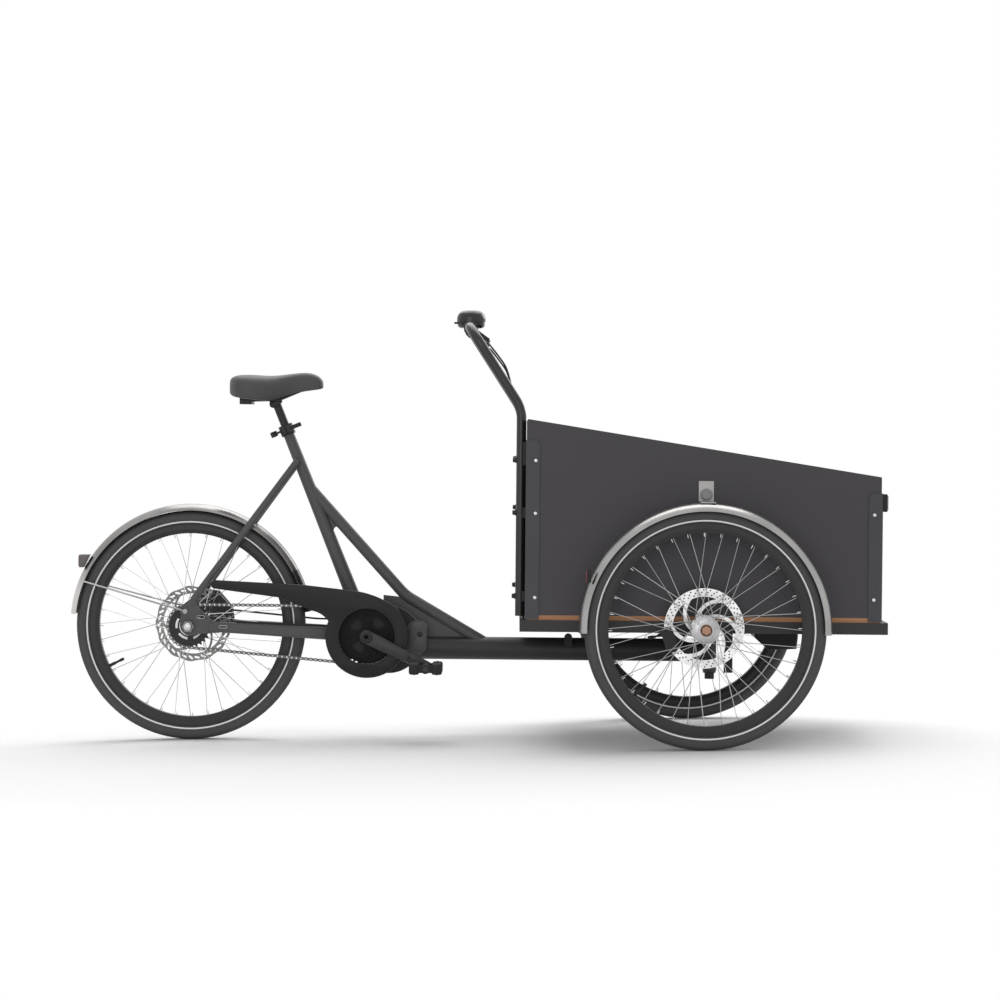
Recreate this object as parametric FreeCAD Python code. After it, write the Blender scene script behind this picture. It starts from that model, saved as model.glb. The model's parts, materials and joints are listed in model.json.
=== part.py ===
import FreeCAD, Part
import math
import os

V = FreeCAD.Vector

# Cargo tricycle. Millimetres, x forward, y left, z up. The frame is drawn level with the rear axle
# above the origin, then pitched nose-down onto the ground.
FRAME_PITCH = 1.15
WHEELBASE = 1336.0
TRACK = 800.0
RUN_FIT = 0.05
GAP = 0.4

# wheels
WHEEL_R = 303.5
TYRE_W = 50.0
TYRE_H = 36.5
RIM_FLANGE_H = 6.0
RIM_DEEP = 24.0
RIM_W = 33.0
SPOKES_PER_SIDE = 18
SPOKE_D = 2.0
FLANGE_R = 34.6
FLANGE_T = 3.0
HUB_BODY_R = 20.0
ROTOR_R = 101.5
ROTOR_BAND = 24.0
ROTOR_T = 2.0
AXLE_D = 12.0
STUB_D = 16.0
REAR_FLANGE_Y = 30.0
FRONT_FLANGE_Y = 28.0
REAR_ROTOR_Y = 46.0
FRONT_ROTOR_IN = 44.0

# rear frame
MAIN_D = 60.0
MAIN_Z = WHEEL_R - 55.5
MAIN_WALL = 2.5
PIVOT_X = 1374.6
HEAD_D = 36.0
HEAD_LOW = WHEEL_R - 110.9
HEAD_HIGH = WHEEL_R - 0.5
KINGPIN_D = 25.4
SEAT_X = 251.9
SEAT_Z = WHEEL_R + 514.7
SEAT_ANGLE = 22.05
SEAT_TOP_D = 28.4
SEAT_LOW_D = 39.0
SEAT_UP = 18.0
SEAT_LONG = 520.0
POST_D = 22.2
POST_IN = 300.0
POST_OUT = 76.0
DOWN_D = 30.0
DOWN_T = 161.0
DOWN_BEND_X = 566.4
DOWN_BEND_Z = WHEEL_R + 83.7
DOWN_BEND_R = 120.0
DOWN_END_X = 803.9
STAY_D = 19.0
STAY_T = 81.0
STAY_LOW_X = 11.8
STAY_LOW_Z = WHEEL_R + 69.5
STAY_TOP_Y = 20.0
DROP_IN = 62.0
DROP_T = 7.0
CHAINSTAY_W = 18.0
CHAINSTAY_REAR_H = 27.0
CHAINSTAY_FRONT_H = 37.0
CHAINSTAY_FRONT_Y = 31.0
BRIDGE_D = 12.0
PLATE_T = 6.0
STRAP_T = 4.0

# drive
CRANK_X = 470.0
CRANK_Z = WHEEL_R - 21.5
CRANK_LONG = 175.0
CRANK_ANGLE = 25.5
ARM_IN = 88.0
ARM_T = 13.0
SPINDLE_D = 24.0
MOTOR_HALF_W = 30.0
MOTOR_REAR_R = 75.0
MOTOR_FRONT_R = 88.0
MOTOR_FRONT_X = 525.0
MOTOR_FRONT_Z = WHEEL_R - 33.5
CHAIN_PITCH = 12.7
RING_TEETH = 38
SPROCKET_TEETH = 28
CHAIN_Y = 48.0
CHAIN_W = 8.0
CHAIN_H = 8.6
GUARD_Y = 81.0
GUARD_T = 3.0
GUARD_HOLE_R = 73.5
PEDAL_LONG = 86.0
PEDAL_W = 94.0
PEDAL_H = 29.0
PEDAL_AXLE_D = 14.0

# front half
RAIL = 30.0
RAIL_WALL = 2.0
RAIL_LOW = WHEEL_R + 12.0
RAIL_X0 = 870.0
RAIL_X1 = 1803.0
RAIL_PROUD = 3.0
FLOOR_T = 14.0
REBATE = 2.0
PLY = 9.0
BOX_X0 = 886.0
BOX_X1 = 1784.0
BOX_TO_WHEEL = 78.0
BOX_REAR_Z = WHEEL_R + 551.5
BOX_FRONT_Z = WHEEL_R + 411.2
POST_STRIP_W = 32.0
POST_STRIP_T = 3.0
POST_REAR_Z = WHEEL_R + 497.5
POST_FRONT_Z = WHEEL_R + 370.1
BAR_D = 25.0
BAR_WALL = 2.0
BAR_STANDOFF = 15.2
BAR_INSET = 57.0
BAR_BOLT_D = 6.0
BAR_FOOT_Z = WHEEL_R + 49.0
BAR_BEND_Z = WHEEL_R + 578.5
BAR_X = 736.0
BAR_Z = WHEEL_R + 786.5
MUD_T = 1.5
FRONT_MUD_GAP = 14.5
FRONT_MUD_W = 66.0
FRONT_MUD_DEEP = 21.0
REAR_MUD_GAP = 17.5
REAR_MUD_W = 56.0
REAR_MUD_DEEP = 17.0
HOSE_D = 5.0

# saddle and controls
SADDLE_PIVOT_X = 214.0
SADDLE_PIVOT_Z = WHEEL_R + 589.5
SADDLE_REAR_X = 104.0
SADDLE_NOSE_X = 344.0
SADDLE_HALF_W = 96.0
NOSE_HALF_W = 25.0
LEVER_REACH = 48.0
LEVER_DROP = 36.0
LEVER_LONG = 118.0
MOUNT_Y = 74.0
BELL_Y = 0.0
BELL_R = 38.0
BELL_H = 38.5
RING_Z = 3.4
RING_T = 5.2
RING_BORE_R = 6.0

# derived places
RIM_EDGE_R = WHEEL_R - TYRE_H
RIM_SEAT_R = RIM_EDGE_R - RIM_FLANGE_H
RIM_INNER_R = RIM_EDGE_R - RIM_DEEP
FRONT_MUD_R = WHEEL_R + FRONT_MUD_GAP
FRONT_MUD_LIP_R = FRONT_MUD_R - FRONT_MUD_DEEP
REAR_MUD_R = WHEEL_R + REAR_MUD_GAP
REAR_MUD_LIP_R = REAR_MUD_R - REAR_MUD_DEEP
PITCH = math.radians(FRAME_PITCH)
FRONT_X = WHEELBASE * math.cos(PITCH)
FRONT_Z = WHEEL_R + WHEELBASE * math.sin(PITCH)
HALF_TRACK = TRACK / 2
BOX_HALF = HALF_TRACK - BOX_TO_WHEEL
RAIL_OUT = BOX_HALF + RAIL_PROUD
BAR_LEG_X = BOX_X0 - BAR_STANDOFF
BAR_LEG_Y = BOX_HALF - BAR_INSET
RAIL_TOP = RAIL_LOW + RAIL
RAIL_IN = RAIL_OUT - RAIL
FLOOR_TOP = RAIL_TOP + FLOOR_T
SEAT_TILT = math.radians(SEAT_ANGLE)
SEAT_DOWN = V(math.sin(SEAT_TILT), 0, -math.cos(SEAT_TILT))
SEAT_TOP = V(SEAT_X, 0, SEAT_Z)
RING_R = CHAIN_PITCH / 2 / math.sin(math.pi / RING_TEETH)
SPROCKET_R = CHAIN_PITCH / 2 / math.sin(math.pi / SPROCKET_TEETH)
LEVER_ANGLE = math.radians(LEVER_DROP)
LEVER_OUT = V(math.cos(LEVER_ANGLE), 0, -math.sin(LEVER_ANGLE))
LEVER_AXIS = V(math.sin(LEVER_ANGLE), 0, math.cos(LEVER_ANGLE))
BAR = V(BAR_X, 0, BAR_Z)
UP = V(0, 0, 1)
ACROSS = V(0, 1, 0)


def seat_at(t, y=0.0):
    """Point on the seat tube axis, t mm below the reference point."""
    return SEAT_TOP + SEAT_DOWN * t + V(0, y, 0)


def rod(a, b, r):
    """Solid cylinder between two points."""
    return Part.makeCylinder(r, (b - a).Length, a, b - a)


def box(x0, x1, y0, y1, z0, z1):
    """Block between two corners."""
    return Part.makeBox(x1 - x0, y1 - y0, z1 - z0, V(x0, y0, z0))


def wire(items, put):
    """Closed outline. Pairs are line ends, fours are arcs given by a middle point and an end."""
    edges = []
    start = put(*items[0])
    here = start
    for item in items[1:]:
        end = put(*item[-2:])
        if len(item) == 4:
            edges.append(Part.Arc(here, put(*item[:2]), end).toShape())
        else:
            edges.append(Part.makeLine(here, end))
        here = end
    if (here - start).Length > 1e-6:
        edges.append(Part.makeLine(here, start))
    return Part.Wire(edges)


def plate(items, y0, y1):
    """Prism of an outline in the x-z plane."""
    face = Part.Face(wire(items, lambda x, z: V(x, y0, z)))
    return face.extrude(V(0, y1 - y0, 0))


def turned(items, centre, side=1.0):
    """Body of revolution about the y axis through centre; the outline is (y, radius)."""
    face = Part.Face(wire(items, lambda y, r: centre + V(0, side * y, r)))
    return face.revolve(centre, ACROSS, 360)


def bent(points, radii, r, sides=0):
    """Bar along straight runs joined by tangent arcs, round or with the given number of sides."""
    edges = []
    here = points[0]
    for i in range(1, len(points) - 1):
        back = (points[i - 1] - points[i]).normalize()
        on = (points[i + 1] - points[i]).normalize()
        half = back.getAngle(on) / 2
        trim = radii[i - 1] / math.tan(half)
        a = points[i] + back * trim
        b = points[i] + on * trim
        bisector = (back + on).normalize()
        mid = points[i] + bisector * (radii[i - 1] / math.sin(half) - radii[i - 1])
        edges.append(Part.makeLine(here, a))
        edges.append(Part.Arc(a, mid, b).toShape())
        here = b
    edges.append(Part.makeLine(here, points[-1]))
    spine = Part.Wire(edges)
    ring = Part.Wire(Part.makeCircle(r, points[0], points[1] - points[0]))
    if sides:
        ring = Part.makePolygon(ring.discretize(sides + 1))
    return spine.makePipeShell([ring], True, False)


def both_sides(shape):
    """A shape and its mirror image over the middle plane."""
    return [shape, shape.mirror(V(0, 0, 0), ACROSS)]


def fused(shapes):
    """One solid from touching shapes."""
    return shapes[0].multiFuse(shapes[1:]).removeSplitter()


def hexagon(r, turn=0.0):
    """Closed corners of a hexagon round the origin."""
    angles = [math.radians(60 * k + turn) for k in range(7)]
    return [(r * math.cos(a), r * math.sin(a)) for a in angles]


def slot_outline(x0, z0, r0, x1, z1, r1):
    """Outline round two circles joined by their outer tangents."""
    along = math.atan2(z1 - z0, x1 - x0)
    span = math.hypot(x1 - x0, z1 - z0)
    lean = math.acos((r0 - r1) / span)

    def on(x, z, r, angle):
        return (x + r * math.cos(along + angle), z + r * math.sin(along + angle))

    return [
        on(x0, z0, r0, lean),
        on(x0, z0, r0, math.pi) + on(x0, z0, r0, -lean),
        on(x1, z1, r1, -lean),
        on(x1, z1, r1, 0) + on(x1, z1, r1, lean),
    ]


def motor_outline(extra):
    """Side outline of the motor, grown by extra."""
    return slot_outline(CRANK_X, CRANK_Z, MOTOR_REAR_R + extra,
                        MOTOR_FRONT_X, MOTOR_FRONT_Z, MOTOR_FRONT_R + extra)


def tyre(centre):
    """Hollow tyre seated between the rim flanges."""
    w = TYRE_W / 2
    seat = RIM_W / 2 - 2.5
    high = WHEEL_R - RIM_EDGE_R
    mid = RIM_EDGE_R + 0.4 * high
    half = [
        (0.20 * w, WHEEL_R),
        (0.58 * w, WHEEL_R - 0.1 * high),
        (0.90 * w, WHEEL_R - 0.33 * high),
        (w, mid),
        (0.88 * w, RIM_EDGE_R + 0.15 * high),
        (seat, RIM_EDGE_R),
        (seat, RIM_SEAT_R),
        (seat - 3.5, RIM_SEAT_R),
        (w - 4.5, mid),
        (w - 9, WHEEL_R - 0.32 * high),
    ]
    outline = half + [(-y, r) for y, r in reversed(half)]
    return turned(outline, centre)


def rim(centre):
    """Box rim with two flanges and a tapered inner wall."""
    w = RIM_W / 2
    shoulder = RIM_SEAT_R - 7
    outline = [
        (-w, RIM_EDGE_R),
        (2.5 - w, RIM_EDGE_R),
        (2.5 - w, RIM_SEAT_R),
        (w - 2.5, RIM_SEAT_R),
        (w - 2.5, RIM_EDGE_R),
        (w, RIM_EDGE_R),
        (w, shoulder),
        (w - 7, RIM_INNER_R),
        (7 - w, RIM_INNER_R),
        (-w, shoulder),
    ]
    return turned(outline, centre)


def spokes(centre, flange_y):
    """Tangent-laced spokes, three crossings, heads alternating on both faces of each flange."""
    step = 2 * math.pi / SPOKES_PER_SIDE
    lace = 3 * step
    hole_r = FLANGE_R - 5
    made = []
    for side in (1, -1):
        for i in range(SPOKES_PER_SIDE):
            face = 1 if i % 2 == 0 else -1
            a = i * step + (0 if side > 0 else step / 2)
            b = a + face * lace
            offset = face * (FLANGE_T / 2 + SPOKE_D / 2 - 0.3)
            head = centre + V(hole_r * math.cos(a), side * (flange_y + offset), hole_r * math.sin(a))
            tip_r = RIM_INNER_R + 4
            tip = centre + V(tip_r * math.cos(b), side * 2.5, tip_r * math.sin(b))
            along = (tip - head).normalize()
            u = along.cross(ACROSS).normalize()
            w = along.cross(u)
            corners = []
            for k in range(6):
                turn = k * math.pi / 3
                corners.append(head + (u * math.cos(turn) + w * math.sin(turn)) * (SPOKE_D / 2))
            face_shape = Part.Face(Part.makePolygon(corners + corners[:1]))
            made.append(face_shape.extrude(tip - head))
    return Part.makeCompound(made)


def hub(centre, bore_r, flange_y, left, right, left_step, right_step):
    """Flanged hub; left and right are its ends, the steps are where the necks begin."""
    f = FLANGE_T / 2
    neck = HUB_BODY_R
    outline = [
        (-right, bore_r),
        (-right, neck),
        (-right_step, neck),
        (-right_step, neck + 4),
        (-flange_y - f, neck + 4),
        (-flange_y - f, FLANGE_R),
        (f - flange_y, FLANGE_R),
        (f - flange_y + 6, neck),
        (flange_y - f - 6, neck),
        (flange_y - f, FLANGE_R),
        (flange_y + f, FLANGE_R),
        (flange_y + f, neck + 4),
        (left_step, neck + 4),
        (left_step, neck),
        (left, neck),
        (left, bore_r),
    ]
    return turned(outline, centre)


def rotor(centre, y0, turn):
    """Brake disc: outer band, six raked arms and a centre ring, pressed on the hub neck."""
    y1 = y0 + ROTOR_T

    def ring(outer, inner):
        place = V(centre.x, y0, centre.z)
        disc = Part.makeCylinder(outer, ROTOR_T, place, ACROSS)
        return disc.cut(Part.makeCylinder(inner, ROTOR_T, place, ACROSS))

    inner = ROTOR_R - ROTOR_BAND
    pieces = [ring(ROTOR_R, inner), ring(FLANGE_R, HUB_BODY_R)]
    for k in range(6):
        a = math.radians(60 * k + turn)
        b = a + math.radians(38)
        foot = (centre.x + (FLANGE_R - 5) * math.cos(a), centre.z + (FLANGE_R - 5) * math.sin(a))
        tip = (centre.x + (inner + 4) * math.cos(b), centre.z + (inner + 4) * math.sin(b))
        pieces.append(plate(slot_outline(foot[0], foot[1], 5.0, tip[0], tip[1], 4.5), y0, y1))
    return fused(pieces)


def tube_cone(extra=0.0):
    """Outer body of the tapered seat tube."""
    top = seat_at(-SEAT_UP)
    return Part.makeCone(SEAT_TOP_D / 2 + extra, SEAT_LOW_D / 2 + extra, SEAT_UP + SEAT_LONG, top, SEAT_DOWN)


def down_path():
    """Corner points of the down tube centre line."""
    start = seat_at(DOWN_T)
    return [start, V(DOWN_BEND_X, 0, DOWN_BEND_Z), V(DOWN_END_X, 0, MAIN_Z)]


def main_body():
    """Outer cylinder of the main tube."""
    return rod(V(MOTOR_FRONT_X, 0, MAIN_Z), V(PIVOT_X, 0, MAIN_Z), MAIN_D / 2)


def motor_body(extra, half):
    """Motor outline as a solid."""
    return plate(motor_outline(extra), -half, half)


def stay_line(side):
    """Centre line of one seat stay, top to bottom."""
    low_y = DROP_IN + DROP_T / 2
    return seat_at(STAY_T, side * STAY_TOP_Y), V(STAY_LOW_X, side * low_y, STAY_LOW_Z)


def make_main_tube():
    """Main tube with a solid nose wrapped round the head tube."""
    inner = rod(V(MOTOR_FRONT_X, 0, MAIN_Z), V(PIVOT_X - 35, 0, MAIN_Z), MAIN_D / 2 - MAIN_WALL)
    head = rod(V(PIVOT_X, 0, HEAD_LOW), V(PIVOT_X, 0, HEAD_HIGH), HEAD_D / 2)
    return main_body().cut(inner).cut(motor_body(STRAP_T, MAIN_D)).cut(head)


def make_head_tube():
    """Bored head tube."""
    low = V(PIVOT_X, 0, HEAD_LOW)
    high = V(PIVOT_X, 0, HEAD_HIGH)
    return rod(low, high, HEAD_D / 2).cut(rod(low, high, KINGPIN_D / 2 + RUN_FIT))


def make_seat_tube():
    """Tapered seat tube bored for the post, coped onto the motor cradle."""
    bore = rod(seat_at(-SEAT_UP), seat_at(POST_IN + 70), POST_D / 2 + RUN_FIT)
    return tube_cone().cut(bore).cut(motor_body(STRAP_T, MAIN_D))


def make_down_tube():
    """Bent down tube between seat tube and main tube."""
    path = down_path()
    outer = bent(path, [DOWN_BEND_R], DOWN_D / 2)
    inner = bent(path, [DOWN_BEND_R], DOWN_D / 2 - 2)
    return outer.cut(inner).cut(tube_cone()).cut(main_body())


def make_frame_plates():
    """Cradle strap over the motor, side brackets, gusset and crotch web."""
    strap = motor_body(STRAP_T, MOTOR_HALF_W + STRAP_T).cut(motor_body(0, MAIN_D))
    low = MAIN_Z - MAIN_D / 2
    strap = strap.common(box(0, PIVOT_X, -MAIN_D, MAIN_D, low, SEAT_Z))
    reach = MOTOR_FRONT_X + MOTOR_FRONT_R + STRAP_T
    ear = [
        (reach - 62, low + 12),
        (reach - 8, low + 12),
        (reach + 8, low + 30),
        (reach + 8, MAIN_Z + 52),
        (reach - 14, MAIN_Z + 75, reach - 40, MAIN_Z + 62),
        (reach - 62, MAIN_Z + 40),
    ]
    edge = MOTOR_HALF_W + STRAP_T
    ears = both_sides(plate(ear, -edge - STRAP_T, -edge))
    half = PLATE_T / 2
    gusset = plate([
        (DOWN_BEND_X - 57, DOWN_BEND_Z),
        (DOWN_BEND_X + 20, DOWN_BEND_Z - 8),
        (DOWN_END_X - 70, MAIN_Z + 30),
        (DOWN_END_X - 70, MAIN_Z),
        (DOWN_BEND_X, MAIN_Z),
        (DOWN_BEND_X - 57, MAIN_Z),
    ], -half, half)
    gusset = gusset.cut(motor_body(STRAP_T, MAIN_D)).cut(main_body())
    gusset = gusset.cut(bent(down_path(), [DOWN_BEND_R], DOWN_D / 2))
    top = seat_at(DOWN_T + 5)
    low_point = seat_at(DOWN_T + 125)
    web = plate([
        (top.x, top.z),
        (low_point.x, low_point.z),
        (low_point.x + 46, low_point.z + 14),
    ], -half, half)
    notch = seat_at(DOWN_T + 122)
    web = web.cut(Part.makeCylinder(9, PLATE_T, V(notch.x + 27, -half, notch.z + 2), ACROSS))
    web = web.cut(tube_cone()).cut(bent(down_path(), [DOWN_BEND_R], DOWN_D / 2))
    return Part.makeCompound([fused([strap] + ears)] + gusset.Solids + web.Solids)


def stay_bridge():
    """Bar across the seat stays that carries the top of the rear mudguard."""
    a, b = stay_line(1)
    reach = REAR_MUD_R + BRIDGE_D / 2
    lo = 0.0
    hi = 1.0
    for _ in range(40):
        mid = (lo + hi) / 2
        p = b + (a - b) * mid
        if math.hypot(p.x, p.z - WHEEL_R) < reach:
            lo = mid
        else:
            hi = mid
    p = b + (a - b) * lo
    return rod(V(p.x, -p.y, p.z), p, BRIDGE_D / 2)


def make_seat_stays():
    """Two round stays and their bridge, coped to the seat tube and slotted onto the dropouts."""
    drops = make_dropouts()
    made = [stay_bridge()]
    for side in (1, -1):
        a, b = stay_line(side)
        made.append(rod(a, b, STAY_D / 2))
    return fused(made).cut(tube_cone()).cut(drops)


def chainstay_line(side, edge):
    """Axis of the upper (edge 1) or lower (edge -1) round edge of a chain stay, rear to front."""
    r = CHAINSTAY_W / 2
    rear = V(STAY_LOW_X + 42, side * (DROP_IN + DROP_T / 2), WHEEL_R + edge * (CHAINSTAY_REAR_H / 2 - r))
    front = V(CRANK_X - 20, side * CHAINSTAY_FRONT_Y, CRANK_Z + edge * (CHAINSTAY_FRONT_H / 2 - r))
    return rear, front


def make_chain_stays():
    """Two flat-sided oval stays, deeper towards the motor cradle."""
    r = CHAINSTAY_W / 2
    drops = make_dropouts()
    made = []
    for side in (1, -1):
        a, b = chainstay_line(side, 1)
        d, c = chainstay_line(side, -1)
        web = Part.Face(Part.makePolygon([a, b, c, d, a]))
        normal = (b - a).cross(d - a).normalize() * r
        web.translate(normal * -1)
        made.append(fused([rod(a, b, r), rod(d, c, r), web.extrude(normal * 2)]))
    body = Part.makeCompound(made)
    return body.cut(motor_body(STRAP_T, MAIN_D * 2)).cut(drops)


def chain_side_outline():
    """Hooked outline of the right dropout, open above the chain stay."""
    x = STAY_LOW_X
    return [
        (x - 33, WHEEL_R + 52),
        (x - 35, WHEEL_R + 43, x - 32, WHEEL_R + 30),
        (x - 34, WHEEL_R + 2),
        (x - 12, WHEEL_R - 24, x + 12, WHEEL_R - 20),
        (x + 94, WHEEL_R - 14),
        (x + 96, WHEEL_R + 8),
        (x + 74, WHEEL_R + 9),
        (x + 54, WHEEL_R + 15, x + 38, WHEEL_R + 29),
        (x + 15, WHEEL_R + 50),
        (x + 10, WHEEL_R + 58, x + 15, STAY_LOW_Z),
        (x + 26, STAY_LOW_Z + 22),
        (x - 6, STAY_LOW_Z + 4),
    ]


def brake_side_outline():
    """Outline of the left dropout, which carries the caliper."""
    x = STAY_LOW_X
    return [
        (x - 34, WHEEL_R + 44),
        (x - 32, WHEEL_R + 2),
        (x - 12, WHEEL_R - 24, x + 12, WHEEL_R - 20),
        (x + 94, WHEEL_R - 14),
        (x + 96, WHEEL_R + 20),
        (x + 90, WHEEL_R + 48),
        (x + 56, STAY_LOW_Z + 18),
        (x + 26, STAY_LOW_Z + 22),
        (x - 6, STAY_LOW_Z + 4),
        (x - 28, WHEEL_R + 54),
    ]


def make_dropouts():
    """Pair of dropout plates bored for the axle, each with a lightening slot and an eyelet."""
    face = DROP_IN + DROP_T
    slot_x = STAY_LOW_X + 14
    slot_z = WHEEL_R + 25
    slot = slot_outline(slot_x, slot_z, 3.5, slot_x + 13.5, slot_z, 3.4)
    cuts = fused([rod(V(0, -face, WHEEL_R), V(0, face, WHEEL_R), AXLE_D / 2), plate(slot, -face, face)])
    left = plate(brake_side_outline(), DROP_IN, face).cut(cuts)
    right = plate(chain_side_outline(), -face, -DROP_IN).cut(cuts)
    return Part.makeCompound([left, right])


def make_motor_housing():
    """Mid motor with a spindle bore and a stepped cover on its left side."""
    body = motor_body(0, MOTOR_HALF_W)
    front_x = MOTOR_FRONT_X - 20
    front_r = MOTOR_FRONT_R - 44
    outline = slot_outline(CRANK_X, CRANK_Z, MOTOR_REAR_R - 14, front_x, MOTOR_FRONT_Z, front_r)
    cover = plate(outline, MOTOR_HALF_W, MOTOR_HALF_W + 14)
    low = V(CRANK_X, -MAIN_D, CRANK_Z)
    high = V(CRANK_X, MAIN_D, CRANK_Z)
    return fused([body, cover]).cut(rod(low, high, SPINDLE_D / 2 + RUN_FIT))


def chain_guard_outline():
    """Side outline of the guard: round head about the crank and a tapering tail over the chain."""
    x = CRANK_X
    z = CRANK_Z
    r = 109.0
    top = math.radians(45)
    low = math.radians(158.5)
    return [
        (x - 398, z + 145),
        (x - 163, z + 134),
        (x - 26, z + 119),
        (x + 30, z + 103, x + r * math.cos(top), z + r * math.sin(top)),
        (x, z - r, x + r * math.cos(low), z + r * math.sin(low)),
        (x - 118, z + 56, x - 142, z + 66),
        (x - 228, z + 100),
        (x - 398, z + 122),
        (x - 410, z + 133.5, x - 398, z + 145),
    ]


def make_chain_guard():
    """Flat guard with a raised lip round its opening and two mounting bosses."""
    outer = -GUARD_Y - GUARD_T
    body = plate(chain_guard_outline(), outer, -GUARD_Y)
    centre = V(CRANK_X, outer, CRANK_Z)
    lip = Part.makeCylinder(GUARD_HOLE_R + 5, GUARD_T + 2, centre - V(0, 2, 0), ACROSS)
    body = body.fuse(lip)
    body = body.cut(Part.makeCylinder(GUARD_HOLE_R, 4 * GUARD_T, centre - V(0, GUARD_T, 0), ACROSS))
    seat = seat_at(470)
    boss = rod(V(seat.x, -GUARD_Y, seat.z), V(seat.x, 0, seat.z), 7)
    ear_x = MOTOR_FRONT_X + 45
    ear_y = -MOTOR_HALF_W - 2 * STRAP_T
    low_boss = rod(V(ear_x, -GUARD_Y, CRANK_Z + 8), V(ear_x, ear_y, CRANK_Z + 8), 6)
    return fused([body, boss.cut(tube_cone()).Solids[0], low_boss])


def make_chain():
    """Closed chain: alternating wide and narrow links round chainring and sprocket."""
    a = V(0, 0, WHEEL_R)
    b = V(CRANK_X, 0, CRANK_Z)
    span = (b - a).Length
    along = math.atan2(b.z - a.z, b.x - a.x)
    lean = math.acos((SPROCKET_R - RING_R) / span)
    run = math.sqrt(span ** 2 - (RING_R - SPROCKET_R) ** 2)
    wrap_front = 2 * lean * RING_R
    wrap_rear = 2 * (math.pi - lean) * SPROCKET_R
    total = 2 * run + wrap_front + wrap_rear
    count = 2 * round(total / CHAIN_PITCH / 2)

    def at(s):
        s = s % total
        if s < wrap_front:
            turn = along + lean - s / RING_R
            return b + V(math.cos(turn), 0, math.sin(turn)) * RING_R
        s -= wrap_front
        low = V(math.cos(along - lean), 0, math.sin(along - lean))
        high = V(math.cos(along + lean), 0, math.sin(along + lean))
        if s < run:
            return (b + low * RING_R) * (1 - s / run) + (a + low * SPROCKET_R) * (s / run)
        s -= run
        if s < wrap_rear:
            turn = along - lean - s / SPROCKET_R
            return a + V(math.cos(turn), 0, math.sin(turn)) * SPROCKET_R
        s -= wrap_rear
        return (a + high * SPROCKET_R) * (1 - s / run) + (b + high * RING_R) * (s / run)

    made = []
    for i in range(count):
        p = at(i * total / count)
        q = at((i + 1) * total / count)
        d = q - p
        n = V(-d.z, 0, d.x).normalize() * (CHAIN_H / 2)
        half = CHAIN_W / 2 - (0.8 if i % 2 else 0)
        ring = [p, p + d * 0.22 + n, p + d * 0.78 + n, q, p + d * 0.78 - n, p + d * 0.22 - n]
        made.append(plate([(k.x, k.z) for k in ring], -CHAIN_Y - half, half - CHAIN_Y))
    return Part.makeCompound(made)


def toothed_disc(pitch_r, bore_r, window_r):
    """Chain wheel body inside the links; window_r opens it up to a four-armed spider."""
    r = pitch_r - CHAIN_H / 2 - 2 * GAP
    low = V(0, -CHAIN_Y - 1.5, 0)
    body = Part.makeCylinder(r, 3, low, ACROSS).cut(Part.makeCylinder(bore_r, 3, low, ACROSS))
    if window_r:
        hole = Part.makeCylinder(window_r, 3, low, ACROSS).cut(Part.makeCylinder(bore_r + 11, 3, low, ACROSS))
        for k in range(2):
            arm = box(-r, r, -CHAIN_Y - 1.5, 1.5 - CHAIN_Y, -8, 8)
            arm.rotate(V(0, 0, 0), ACROSS, 90 * k + 20)
            hole = hole.cut(arm)
        body = body.cut(hole)
    return body


def make_chainring():
    """Chainring and spider on the spindle."""
    body = toothed_disc(RING_R, SPINDLE_D / 2, RING_R - 22)
    body.translate(V(CRANK_X, 0, CRANK_Z))
    return body


def make_rear_sprocket():
    """Freewheel sprocket running on the hub neck."""
    body = toothed_disc(SPROCKET_R, HUB_BODY_R + RUN_FIT, 0)
    body.translate(V(0, 0, WHEEL_R))
    return body


def pedal_at(side):
    """Pedal centre; side -1 is the right pedal."""
    a = math.radians(CRANK_ANGLE)
    reach = V(math.cos(a), 0, -math.sin(a)) * (-side * CRANK_LONG)
    return V(CRANK_X, side * (ARM_IN + ARM_T + 3 + PEDAL_W / 2), CRANK_Z) + reach


def make_crankset():
    """Spindle, two tapered arms and the pedal axles."""
    end = ARM_IN + ARM_T
    made = [rod(V(CRANK_X, -end, CRANK_Z), V(CRANK_X, end, CRANK_Z), SPINDLE_D / 2)]
    for side in (1, -1):
        p = pedal_at(side)
        y = sorted((side * ARM_IN, side * end))
        made.append(plate(slot_outline(CRANK_X, CRANK_Z, 18.0, p.x, p.z, 13.0), y[0], y[1]))
        tip = side * (end + PEDAL_W + 2)
        made.append(rod(V(p.x, side * (end - 2), p.z), V(p.x, tip, p.z), PEDAL_AXLE_D / 2))
    return fused(made)


def make_pedal(side):
    """Platform pedal: bored barrel, two end rails and two tread bars."""
    p = pedal_at(side)
    half_w = PEDAL_W / 2
    half_l = PEDAL_LONG / 2
    h = PEDAL_H / 2
    y0 = p.y - half_w
    y1 = p.y + half_w
    barrel = rod(V(p.x, y0, p.z), V(p.x, y1, p.z), PEDAL_AXLE_D / 2 + 5)
    rail = [
        (p.x - half_l, p.z - h + 4),
        (p.x - half_l + 4, p.z - h),
        (p.x + half_l - 4, p.z - h),
        (p.x + half_l, p.z - h + 4),
        (p.x + half_l, p.z + h - 4),
        (p.x + half_l - 4, p.z + h),
        (p.x - half_l + 4, p.z + h),
        (p.x - half_l, p.z + h - 4),
    ]
    made = [barrel, plate(rail, y0, y0 + 12), plate(rail, y1 - 12, y1)]
    for turn in (1, -1):
        x = sorted((p.x + turn * half_l, p.x + turn * (half_l - 22)))
        made.append(box(x[0], x[1], y0 + 6, y1 - 6, p.z - h + 4, p.z + h - 4))
    return fused(made).cut(rod(V(p.x, y0, p.z), V(p.x, y1, p.z), PEDAL_AXLE_D / 2 + RUN_FIT))


def on_seat(shape):
    """Place a shape drawn about the seat tube top, local x across and local z up the tube."""
    shape.rotate(V(0, 0, 0), ACROSS, -SEAT_ANGLE)
    shape.translate(SEAT_TOP)
    return shape


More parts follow.
